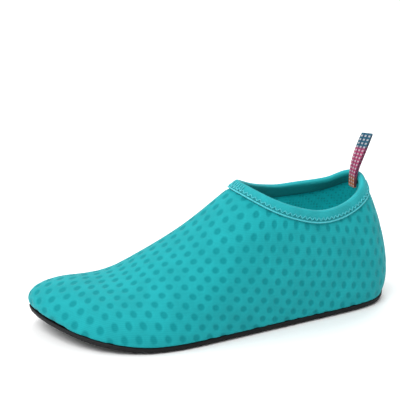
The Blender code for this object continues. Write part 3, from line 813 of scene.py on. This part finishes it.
def thread_piece(name, lines, radius, closed, sides=6):
    """Threads laid along lines of points, as one mesh."""
    curve = bpy.data.curves.new(name, "CURVE")
    curve.dimensions = "3D"
    curve.bevel_depth = radius
    curve.bevel_resolution = (sides - 4) // 2
    curve.use_fill_caps = not closed
    for line in lines:
        spline = curve.splines.new("POLY")
        spline.points.add(len(line) - 1)
        for point, place in zip(spline.points, line):
            point.co = (*place, 1)
        spline.use_cyclic_u = closed
    piece = bpy.data.objects.new(name, curve)
    bpy.context.scene.collection.objects.link(piece)
    make_active(piece)
    bpy.ops.object.convert(target="MESH")
    bpy.ops.object.shade_smooth()
    return bpy.context.view_layer.objects.active


def thread_material(name, colour):
    """Twisted thread."""
    made, tree, shader = new_material(name, 0.6, Specular_IOR_Level=0.25, Sheen_Weight=0.1)
    inputs = {"Vector": object_coords(tree), "Scale": 900.0, "Distortion": 4.0, "Detail": 1.0}
    strands = add(tree, "TexWave", inputs, bands_direction="DIAGONAL").outputs["Fac"]
    link(tree, between_shades(tree, strands, colour, 0.8, 1.15), shader, "Base Color")
    bump(tree, shader, (strands, 0.00004))
    return made


# Shares of the tape's height: the zigzag's lower and upper points, and the light cord. Then the points
# of one zigzag stitch.
ZIGZAG_LOW = 0.20
ZIGZAG_HIGH = 0.44
CORD_SHARE = 0.04
ZIGZAG_STEPS = 6
# The tack at the throat: lengths along the collar of its first stitch and of its end, the pitch of its
# stitches, the shares of the tape's height between which they run, and the points of one.
TACK_FROM = -0.0040
TACK_TO = 0.0085
TACK_PITCH = 0.0018
TACK_LOW = 0.12
TACK_HIGH = 0.80
TACK_STEPS = 7
# Ribs up the tape, and the pitch of its threads along the collar.
TAPE_RIBS = 9
TAPE_THREADS = 0.0006
# Shares of the tape's height, counted over its crest, between which the hollow under the zigzag begins,
# and between which painted shade darkens the inner leg to a dark share of the lining's colour.
HOLLOW = (0.10, 0.17)
INNER_LEG_SHADE = (1.06, 1.28)
# How proud of the tape the middles of the threads lie, as shares of their radius.
ZIGZAG_PROUD = 0.5
TACK_PROUD = 0.6
# Half the width of the trough along the seam, the weight under which it is left out, and how far past
# the tape's lower edge points are looked at.
PINCH_WIDTH = 0.0014
PINCH_LEAST = 0.02
PINCH_REACH = 0.01


def tape_material(tape, lining_colour):
    """Ribbed tape on its own map: along the collar, and up from its lower edge and over to the lining."""
    made, tree, shader = new_material(
        "collar tape", 0.76, Specular_IOR_Level=0.10, Sheen_Weight=0.10, Sheen_Roughness=0.35)
    coords = object_coords(tree)
    parts = add(tree, "SeparateXYZ", {0: add(tree, "UVMap", uv_map="tape").outputs[0]})
    along, up = parts.outputs[0], parts.outputs[1]
    ribs = math_node(tree, "SINE", math_node(tree, "MULTIPLY", up, 2 * math.pi * TAPE_RIBS))
    cross = math_node(tree, "SINE", math_node(tree, "MULTIPLY", along, 2 * math.pi / TAPE_THREADS))
    threads = math_node(tree, "MULTIPLY_ADD", cross, 0.4, ribs)
    turned = math_node(tree, "FRACT", math_node(tree, "DIVIDE", along, tape.zigzag))
    wave = math_node(tree, "ABSOLUTE", math_node(tree, "SUBTRACT", turned, 0.5))
    line = math_node(tree, "MULTIPLY_ADD", wave, 2 * (ZIGZAG_HIGH - ZIGZAG_LOW), ZIGZAG_LOW)
    below = math_node(tree, "SUBTRACT", line, up)
    pressed = math_node(tree, "MULTIPLY", from_to(tree, below, 0.0, 0.05), from_to(tree, up, *HOLLOW))
    mottle = noise(tree, coords, 0.008)
    colour = between_shades(tree, from_to(tree, mottle, *BLOTCHES), tape.colour, 0.92, 1.08)
    # Painted shade: the tape's colour is darkened towards half of it in the hollow under the zigzag.
    painted_hollow_shade = math_node(tree, "MULTIPLY", pressed, 0.75)
    colour = mix_colour(tree, painted_hollow_shade, colour, [c * 0.5 for c in tape.colour])
    # Painted shade: past the crest the inner leg is darkened to 0.40 of the lining's colour.
    inside = from_to(tree, up, *INNER_LEG_SHADE)
    colour = mix_colour(tree, inside, colour, [c * 0.40 for c in lining_colour])
    shaded = shade_by(tree, colour, from_to(tree, threads, -1.4, 1.4, 0.9, 1.05))
    link(tree, shaded, shader, "Base Color")
    bump(tree, shader, (threads, 0.00005), (pressed, -0.0002), (noise(tree, coords, 0.0015), 0.00006))
    return made


class SHOE_OT_collar_tape(bpy.types.Operator):
    """Tape folded over the collar, its zigzag, its light cord and the tack at the throat"""

    bl_idname = "shoe.collar_tape"
    bl_label = "Collar tape"

    def execute(self, context):
        tape = context.scene.shoe_tape
        knit = context.scene.shoe_knit
        piece = copy_of("collar_binding", "collar_tape")
        subdivide_smoothly(piece, 2)
        low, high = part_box("collar_binding")
        middle = np.array([(low.x + high.x) / 2, (low.y + high.y) / 2, 0])
        collar = Collar(piece.data, middle)
        self.pull_flush(piece, collar, tape)
        collar = Collar(piece.data, middle)
        self.map_tape(piece, collar)
        smooth(piece)
        finish_piece(piece, tape_material(tape, knit.lining_colour), "collar_tape", "collar_binding")
        self.pinch_knit(collar, tape)
        self.zigzag(collar, tape)
        self.cord(collar, tape)
        self.throat_tack(collar, tape)
        return {"FINISHED"}

    def pull_flush(self, piece, collar, tape):
        """Draws the outer leg in towards the knit, the more the lower it hangs."""
        points = points_of(piece.data)
        _, up, out = collar.map_of(points)
        share = np.clip(1 - up, 0, 1)
        points -= out * (tape.flush * share * share * (3 - 2 * share))[:, None]
        piece.data.vertices.foreach_set("co", points.ravel())
        piece.data.update()

    def map_tape(self, piece, collar):
        """Gives each point its length along the collar and its way up and over the tape."""
        mesh = piece.data
        layer = new_map(mesh, "tape")
        travelled, up, _ = collar.map_of(points_of(mesh))
        for face in mesh.polygons:
            farthest = travelled[list(face.vertices)].max()
            for loop in face.loop_indices:
                index = mesh.loops[loop].vertex_index
                whole_turn = collar.length if farthest - travelled[index] > collar.length / 2 else 0
                layer[loop].uv = (travelled[index] + whole_turn, up[index])

    def pinch_knit(self, collar, tape):
        """Sinks a soft trough into the knit just below the tape, where the seam pulls it in."""
        knit = bpy.data.objects["upper_knit"]
        edge = np.array(collar.line(0.0, 0.0))
        points = points_of(knit.data)
        group = knit.vertex_groups.new(name="seam")
        ahead = edge[:, 0].max() + PINCH_REACH
        below = edge[:, 2].min() - PINCH_REACH
        near = (points[:, 0] < ahead) & (points[:, 2] > below)
        for index in np.flatnonzero(near):
            apart = float(np.linalg.norm(edge - points[index], axis=1).min())
            weight = math.exp(-(apart / PINCH_WIDTH) ** 2)
            if weight > PINCH_LEAST:
                group.add([int(index)], weight, "REPLACE")
        apply_modifier(knit, "DISPLACE", strength=-tape.pinch, mid_level=0.0, vertex_group="seam")
        deselect()

    def zigzag(self, collar, tape):
        """One thread that goes up and down over the tape, in whole stitches all the way round."""
        points = int(round(collar.length / tape.zigzag)) * ZIGZAG_STEPS
        path = []
        for k in range(points):
            wave = abs((k / ZIGZAG_STEPS) % 1 - 0.5) * 2
            share = ZIGZAG_LOW + (ZIGZAG_HIGH - ZIGZAG_LOW) * wave
            path.append(collar.place(collar.length * k / points, share, tape.thread * ZIGZAG_PROUD))
        piece = thread_piece("zigzag_stitch", [path], tape.thread, True)
        finish_piece(piece, thread_material("zigzag thread", tape.thread_colour), "collar_tape")

    def cord(self, collar, tape):
        """The light cord along the tape's lower edge."""
        piece = thread_piece("seam_cord", [collar.line(CORD_SHARE, 0.0)], tape.piping, True, sides=8)
        finish_piece(piece, thread_material("light cord", tape.piping_colour), "collar_tape")

    def throat_tack(self, collar, tape):
        """A few upright stitches over the tape where its ends meet at the throat."""
        shares = np.linspace(TACK_LOW, TACK_HIGH, TACK_STEPS)
        proud = tape.thread * TACK_PROUD
        lines = [[collar.place(travelled, share, proud) for share in shares]
                 for travelled in np.arange(TACK_FROM, TACK_TO, TACK_PITCH)]
        made = thread_piece("throat_tack", lines, tape.thread, False)
        finish_piece(made, thread_material("tack thread", tape.thread_colour), "collar_tape")


# How many heights the ribbon's middle line is taken at, and how near to one a point counts there.
RIBBON_LEVELS = 24
RIBBON_NEAR = 0.0012
# Shares of the loop's height over which its checks change colour, to the fold and to the sewn end.
TO_FOLD = (0.70, 0.78)
TO_SEWN_END = (0.14, 0.26)
# Soft edges of a pale square, across and up the ribbon, and of the dark threads between the columns.
# They are shares of a check, from its middle.
SQUARE_ACROSS = (0.20, 0.28)
SQUARE_UP = (0.18, 0.27)
DARK_THREADS = (0.36, 0.44)
# Pitch of the ribbon's weft, and the number of its warp threads.
WEFT = 0.00035
WARPS = 18


def ribbon_material(ribbon, length):
    """Woven checks on the ribbon's own map: across from -0.5 to 0.5, and up in metres."""
    made, tree, shader = new_material("checked ribbon", 0.62, Specular_IOR_Level=0.2, Sheen_Weight=0.05)
    uv = add(tree, "UVMap", uv_map="ribbon").outputs[0]
    parts = add(tree, "SeparateXYZ", {0: uv})
    across, up = parts.outputs[0], parts.outputs[1]
    column = math_node(tree, "MULTIPLY", math_node(tree, "ADD", across, 0.5), float(ribbon.columns))
    row = math_node(tree, "DIVIDE", up, ribbon.check)
    in_column = math_node(tree, "FRACT", column)
    in_row = math_node(tree, "FRACT", row)
    from_middle = math_node(tree, "ABSOLUTE", math_node(tree, "SUBTRACT", in_column, 0.5))
    from_row = math_node(tree, "ABSOLUTE", math_node(tree, "SUBTRACT", in_row, 0.5))
    share = math_node(tree, "DIVIDE", up, length)
    ground = mix_colour(tree, from_to(tree, share, *TO_FOLD), ribbon.middle_colour, ribbon.top_colour)
    ground = mix_colour(tree, from_to(tree, share, *TO_SEWN_END, 1.0, 0.0), ground, ribbon.end_colour)
    square = math_node(tree, "MULTIPLY", from_to(tree, from_middle, *SQUARE_ACROSS, 1.0, 0.0),
                       from_to(tree, from_row, *SQUARE_UP, 1.0, 0.0))
    colour = mix_colour(tree, math_node(tree, "MULTIPLY", square, 0.85), ground, ribbon.pale_colour)
    dark = from_to(tree, from_middle, *DARK_THREADS)
    colour = mix_colour(tree, math_node(tree, "MULTIPLY", dark, 0.8), colour, ribbon.dark_colour)
    weft = math_node(tree, "SINE", math_node(tree, "MULTIPLY", up, 2 * math.pi / WEFT))
    warp = math_node(tree, "SINE", math_node(tree, "MULTIPLY", across, 2 * math.pi * WARPS))
    threads = math_node(tree, "MULTIPLY", weft, warp)
    shaded = shade_by(tree, colour, from_to(tree, threads, -1.0, 1.0, 0.8, 1.08))
    link(tree, shaded, shader, "Base Color")
    bump(tree, shader, (threads, 0.00006), (square, 0.00005))
    return made


class SHOE_OT_pull_loop(bpy.types.Operator):
    """Ribbon loop with woven checks"""

    bl_idname = "shoe.pull_loop"
    bl_label = "Pull loop"

    def execute(self, context):
        ribbon = context.scene.shoe_ribbon
        piece = copy_of("pull_loop", "pull_ribbon")
        crease_rims(piece, *LOOP_RIM)
        subdivide_smoothly(piece, 2)
        self.map_ribbon(piece)
        low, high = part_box("pull_loop")
        smooth(piece, 40)
        finish_piece(piece, ribbon_material(ribbon, high.z - low.z), "loop_ribbon", "pull_loop")
        return {"FINISHED"}

    def map_ribbon(self, piece):
        """Gives each point its place across the ribbon and its height."""
        mesh = piece.data
        points = points_of(mesh)
        low = points[:, 2].min()
        levels = np.linspace(low, points[:, 2].max(), RIBBON_LEVELS)
        middles, ways, widths = [], [], []
        for level in levels:
            near = points[np.abs(points[:, 2] - level) < RIBBON_NEAR][:, :2]
            middle = (near.min(axis=0) + near.max(axis=0)) / 2
            way = np.linalg.svd(near - near.mean(axis=0))[2][0]
            way *= 1 if way[1] > 0 else -1
            aside = (near - middle) @ way
            middles.append(middle + way * (aside.max() + aside.min()) / 2)
            ways.append(way)
            widths.append(np.ptp(aside))
        width = float(np.median(widths))
        place, way = (np.column_stack([np.interp(points[:, 2], levels, values) for values in zip(*pairs)])
                      for pairs in (middles, ways))
        across = ((points[:, :2] - place) * way).sum(axis=1) / width
        layer = new_map(mesh, "ribbon")
        for loop in mesh.loops:
            index = loop.vertex_index
            layer[loop.index].uv = (float(across[index]), float(points[index, 2] - low))


def foam_material(knit):
    """Cloth on foam, with a fine grid of dents."""
    made, tree, shader = new_material("footbed cloth", 0.92, Specular_IOR_Level=0.1, Sheen_Weight=0.05)
    coords = object_coords(tree)
    inputs = {"Vector": coords, "Scale": 520.0, "Randomness": 0.1}
    cells = add(tree, "TexVoronoi", inputs).outputs["Distance"]
    mottle = noise(tree, coords, 0.02)
    colour = between_shades(tree, from_to(tree, mottle, *BLOTCHES), knit.lining_colour, 0.85, 1)
    dents = from_to(tree, cells, 0.1, 0.5, 1.05, 0.75)
    link(tree, shade_by(tree, colour, dents), shader, "Base Color")
    bump(tree, shader, (cells, -0.0001))
    return made


class SHOE_OT_footbed(bpy.types.Operator):
    """Cloth-faced foam footbed"""

    bl_idname = "shoe.footbed"
    bl_label = "Footbed"

    def execute(self, context):
        piece = copy_of("insole", "footbed")
        crease_rims(piece, *FOOTBED_RIM)
        subdivide_smoothly(piece, 2)
        smooth(piece)
        finish_piece(piece, foam_material(context.scene.shoe_knit), "footbed_foam", "insole")
        return {"FINISHED"}


# Colour of the rubber along its edges.
WORN_RUBBER = (0.030, 0.030, 0.031)


def rubber_material(sole):
    """Black rubber, a little paler along its edges."""
    made, tree, shader = new_material("black rubber", 0.6, Specular_IOR_Level=0.04)
    coords = object_coords(tree)
    grain = noise(tree, coords, 0.0005, 4.0, 0.6)
    patches = noise(tree, coords, 0.012, 2.0)
    worn = from_to(tree, add(tree, "NewGeometry").outputs["Pointiness"], 0.50, 0.56)
    colour = between_shades(tree, from_to(tree, patches, *BLOTCHES), sole.colour, 1, 1.5)
    colour = mix_colour(tree, math_node(tree, "MULTIPLY", worn, 0.5), colour, WORN_RUBBER)
    link(tree, colour, shader, "Base Color")
    rough = math_node(tree, "MULTIPLY_ADD", grain, 0.16, 0.36)
    link(tree, math_node(tree, "MULTIPLY_ADD", patches, 0.12, rough), shader, "Roughness")
    bump(tree, shader, (grain, 0.00003))
    return made


# Pads of the ball whose discs are pebbled: middle and radius of the disc. Here and below, along is a
# share of the sole's length from the heel, and across a share of the ball's width from the ridge line.
# A radius is a share of the sole's length.
PEBBLED_PADS = [
    # along, across, radius
    (0.642, 0.322, 0.0342),
    (0.735, -0.079, 0.0526),
]
# Ring studs under the toes, with their size as a share of the full one.
TOE_STUDS = [
    # along, across, size
    (0.763, 0.492, 0.85),
    (0.799, 0.375, 0.95),
    (0.832, 0.239, 1.00),
    (0.869, 0.085, 1.00),
    (0.905, -0.125, 1.00),
    (0.922, -0.255, 0.90),
    (0.921, 0.121, 1.00),
    (0.879, 0.288, 1.00),
]
# Corners of the pebbled patch under the big toe.
TOE_PATCH = [
    # along, across
    (0.925, -0.030),
    (0.985, -0.010),
    (0.985, -0.320),
    (0.925, -0.260),
]
BALL_WIDTH = 0.0735
RIDGE_LINE = -0.00526
HEEL_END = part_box("outsole")[0].x
SOLE_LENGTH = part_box("outsole")[1].x - HEEL_END
# Least angle in degrees of the sole's moulded edges.
MOULDED_EDGE = 35
# Points of a disc lie at most this far past its radius and this high, and its pebbles end this far
# above the floor.
DISC_MARGIN = 0.0001
DISC_TOP = 0.0005
FLOOR_GAP = 0.00002
# A height below the floor, from which lines are drawn up to the sole.
UNDER_FLOOR = -0.01
# Pebbles and studs are discs sunk into the sole by their root and then raised in steps. Each step gives
# the height of the new face above the sole and its scale against the last one. A pebble's heights are
# shares of the full one.
PEBBLE_ROOT = 0.00005
PEBBLE_STEPS = [(0.55, 0.86), (1.00, 0.55)]
STUD_ROOT = 0.00010
STUD_STEPS = [(0.00025, 0.97), (0.00035, 0.90), (0.00035, 0.66), (0.00013, 0.85)]
# Seed of the pebbles' scatter, and their rows on each side of the middle.
PEBBLE_SEED = 7
PEBBLE_ROWS = 60
# Shares of the pebbles' pitch: their radius, how far they stray, and how far they keep from the rim.
PEBBLE_RADIUS = 0.54
PEBBLE_STRAY = 0.09
PEBBLE_KEEP = 0.62
# Least and most size of a pebble, and how much the sole may rise or fall under one.
PEBBLE_SIZES = (0.88, 1.04)
PEBBLE_FLAT = 0.0002


def sole_place(along, across):
    """The place in plan, in metres."""
    return np.array([HEEL_END + along * SOLE_LENGTH, RIDGE_LINE + across * BALL_WIDTH])


def raised_disc(sides, radius, root, steps):
    """A disc sunk by its root and raised in steps of height and scale."""
    deselect()
    bpy.ops.mesh.primitive_circle_add(vertices=sides, radius=radius, fill_type="NGON", location=(0, 0, 0))
    piece = bpy.context.object
    in_edit(piece)
    bpy.ops.mesh.select_mode(type="FACE")
    bpy.ops.mesh.select_all(action="SELECT")
    bpy.ops.transform.translate(value=(0, 0, -root))
    last = -root
    for height, scale in steps:
        bpy.ops.mesh.extrude_region_move(TRANSFORM_OT_translate={"value": (0, 0, height - last)})
        bpy.ops.transform.resize(value=(scale, scale, 1), center_override=(0, 0, 0))
        last = height
    deselect()
    return piece


def under_sole(tree, place):
    """Where a line straight up meets the sole, and which way its surface faces there."""
    point, facing, _, _ = tree.ray_cast(Vector((*place, UNDER_FLOOR)), Vector((0, 0, 1)))
    return point, facing


def lay_copies(master, name, places):
    """Copies of the master on the sole, joined. places holds point, facing and size."""
    copies = []
    for point, facing, size in places:
        piece = master.copy()
        piece.data = master.data.copy()
        bpy.context.scene.collection.objects.link(piece)
        piece.location = point
        piece.rotation_euler = facing.to_track_quat("Z", "Y").to_euler()
        piece.scale = (size, size, 1)
        copies.append(piece)
    bpy.data.objects.remove(master)
    make_active(copies[0])
    for piece in copies:
        piece.select_set(True)
    bpy.ops.object.join()
    bpy.ops.object.transform_apply(location=True, rotation=True, scale=True)
    joined = bpy.context.view_layer.objects.active
    joined.name = name
    joined.data.name = name
    in_edit(joined)
    bpy.ops.mesh.select_all(action="SELECT")
    bpy.ops.mesh.normals_make_consistent(inside=False)
    deselect()
    return joined


def in_patch(place, corners):
    """Whether a place lies inside the corners, which run clockwise from above."""
    turns = [(b - a)[0] * (place - a)[1] - (b - a)[1] * (place - a)[0]
             for a, b in zip(corners, corners[1:] + corners[:1])]
    return max(turns) < 0


class SHOE_OT_outsole(bpy.types.Operator):
    """Moulded rubber sole with rounded lugs, pebbled pads and ring studs"""

    bl_idname = "shoe.outsole"
    bl_label = "Outsole"

    def execute(self, context):
        sole = context.scene.shoe_sole
        piece = copy_of("outsole", "rubber_sole")
        self.sink_pads(piece, sole)
        in_edit(piece)
        bpy.ops.mesh.select_all(action="SELECT")
        bpy.ops.mesh.dissolve_limited(angle_limit=math.radians(1.5))
        deselect()
        apply_modifier(piece, "BEVEL", width=sole.edge_round, segments=2, limit_method="ANGLE",
                       angle_limit=math.radians(MOULDED_EDGE), use_clamp_overlap=True)
        smooth(piece, MOULDED_EDGE)
        apply_modifier(piece, "WEIGHTED_NORMAL", keep_sharp=True, weight=60)
        rubber = rubber_material(sole)
        finish_piece(piece, rubber, "sole_rubber", "outsole")
        tree = tree_of(piece.data, piece.data.polygons)
        finish_piece(self.pebbles(sole, tree), rubber, "sole_rubber")
        finish_piece(self.studs(sole, tree), rubber, "sole_rubber")
        return {"FINISHED"}

    def sink_pads(self, piece, sole):
        """Sinks the pebbled pads' discs, so that their pebbles end level with the floor."""
        for along, across, radius in PEBBLED_PADS:
            middle = sole_place(along, across)
            reach = radius * SOLE_LENGTH + DISC_MARGIN
            for vert in piece.data.vertices:
                if np.hypot(*(vert.co[:2] - middle)) < reach and vert.co.z < DISC_TOP:
                    vert.co.z += sole.pebble_height + FLOOR_GAP

    def pebbles(self, sole, tree):
        """Small six-sided pebbles over the two discs and the big toe's patch."""
        steps = [(share * sole.pebble_height, scale) for share, scale in PEBBLE_STEPS]
        master = raised_disc(6, sole.pebble * PEBBLE_RADIUS, PEBBLE_ROOT, steps)
        draw = np.random.default_rng(PEBBLE_SEED)
        pads = [(sole_place(along, across), radius * SOLE_LENGTH - sole.pebble * PEBBLE_KEEP)
                for along, across, radius in PEBBLED_PADS]
        corners = [sole_place(*corner) for corner in TOE_PATCH]
        places = []
        for row in range(-PEBBLE_ROWS, PEBBLE_ROWS):
            for step in range(-PEBBLE_ROWS, PEBBLE_ROWS):
                place = np.array([step + 0.5 * (row % 2), row * math.sqrt(0.75)]) * sole.pebble
                place = place + draw.uniform(-PEBBLE_STRAY, PEBBLE_STRAY, 2) * sole.pebble
                on_pad = any(np.linalg.norm(place - middle) < reach for middle, reach in pads)
                if not on_pad and not (in_patch(place, corners) and self.level(tree, place, sole)):
                    continue
                point, facing = under_sole(tree, place)
                if point is not None:
                    places.append((point, facing, draw.uniform(*PEBBLE_SIZES)))
        return lay_copies(master, "sole_pebbles", places)

    def level(self, tree, place, sole):
        """Whether the sole is flat enough for a pebble here."""
        reach = sole.pebble * 0.5
        middle, facing = under_sole(tree, place)
        around = [under_sole(tree, place + np.array(shift) * reach)[0]
                  for shift in ((1, 0), (-1, 0), (0, 1), (0, -1))]
        if middle is None or None in around:
            return False
        return max(abs((point - middle).dot(facing)) for point in around) < PEBBLE_FLAT

    def studs(self, sole, tree):
        """Low round studs, each with a raised ring around a dished middle."""
        master = raised_disc(16, sole.stud_radius, STUD_ROOT, STUD_STEPS)
        places = [(*under_sole(tree, sole_place(along, across)), size) for along, across, size in TOE_STUDS]
        return lay_copies(master, "toe_studs", places)


FLOOR_SIZE = 6
WORLD_STRENGTH = 0.8
LIGHT_AIM = (0, 0, 0.03)
# Soft lights, with their size in metres and their power in watts.
LIGHTS = [
    # name, place, size, power
    ("key", (0.75, 0.6, 1.2), (0.9, 0.9), 15),
    ("fill", (0.9, -0.3, 0.9), (0.8, 0.8), 5),
    ("back", (-0.6, -0.9, 1.1), (0.9, 0.5), 8),
]


def floor_material(stage):
    """Pale paper with hardly any change in it."""
    made, tree, shader = new_material("pale floor", 0.6)
    patches = noise(tree, object_coords(tree), 0.5, 2.0)
    link(tree, between_shades(tree, patches, stage.floor_colour, 0.99, 1), shader, "Base Color")
    return made


def stand(name, data, place, aim):
    """Puts a lamp or a camera at its place, turned to its aim."""
    piece = bpy.data.objects.new(name, data)
    bpy.context.scene.collection.objects.link(piece)
    piece.location = place
    piece.rotation_euler = (Vector(aim) - Vector(place)).to_track_quat("-Z", "Y").to_euler()
    return piece


class SHOE_OT_stage(bpy.types.Operator):
    """Camera, soft light and pale floor"""

    bl_idname = "shoe.stage"
    bl_label = "Stage"

    def execute(self, context):
        stage = context.scene.shoe_stage
        deselect()
        bpy.ops.mesh.primitive_plane_add(size=FLOOR_SIZE, location=(0, 0, 0))
        floor = bpy.context.object
        floor.name = "floor"
        floor.data.materials.append(floor_material(stage))
        world = bpy.data.worlds.new("studio")
        world.use_nodes = True
        background = world.node_tree.nodes["Background"]
        background.inputs["Color"].default_value = (1, 1, 1, 1)
        background.inputs["Strength"].default_value = WORLD_STRENGTH
        context.scene.world = world
        context.scene.view_settings.view_transform = "Standard"
        for name, place, size, power in LIGHTS:
            light = bpy.data.lights.new(name, "AREA")
            light.shape = "RECTANGLE"
            light.size, light.size_y = size
            light.energy = power
            stand(name, light, place, LIGHT_AIM)
        lens = bpy.data.cameras.new("camera")
        lens.sensor_width = SENSOR
        lens.lens = stage.focal_pixels * SENSOR / max(IMAGE_SIZE)
        lens.clip_start = 0.01
        context.scene.camera = stand("camera", lens, stage.eye, stage.aim)
        return {"FINISHED"}


OPERATORS = [
    SHOE_OT_upper,
    SHOE_OT_collar_tape,
    SHOE_OT_pull_loop,
    SHOE_OT_footbed,
    SHOE_OT_outsole,
    SHOE_OT_stage,
]


class SHOE_PT_panel(bpy.types.Panel):
    """Lists the shoe's pieces"""

    bl_label = "Water shoe"
    bl_idname = "SHOE_PT_panel"
    bl_space_type = "VIEW_3D"
    bl_region_type = "UI"
    bl_category = "Water shoe"

    def draw(self, context):
        for operator in OPERATORS:
            self.layout.operator(operator.bl_idname)


SETTINGS = {
    "shoe_knit": KnitSettings,
    "shoe_tape": TapeSettings,
    "shoe_ribbon": RibbonSettings,
    "shoe_sole": SoleSettings,
    "shoe_stage": StageSettings,
}


def register():
    for kind in [*SETTINGS.values(), *OPERATORS, SHOE_PT_panel]:
        bpy.utils.register_class(kind)
    for name, kind in SETTINGS.items():
        setattr(bpy.types.Scene, name, bpy.props.PointerProperty(type=kind))


def unregister():
    for name in SETTINGS:
        delattr(bpy.types.Scene, name)
    for kind in [SHOE_PT_panel, *reversed(OPERATORS), *SETTINGS.values()]:
        bpy.utils.unregister_class(kind)


def main():
    register()
    bpy.ops.shoe.upper()
    bpy.ops.shoe.collar_tape()
    bpy.ops.shoe.pull_loop()
    bpy.ops.shoe.footbed()
    bpy.ops.shoe.outsole()
    bpy.ops.shoe.stage()


if __name__ == "__main__":
    main()
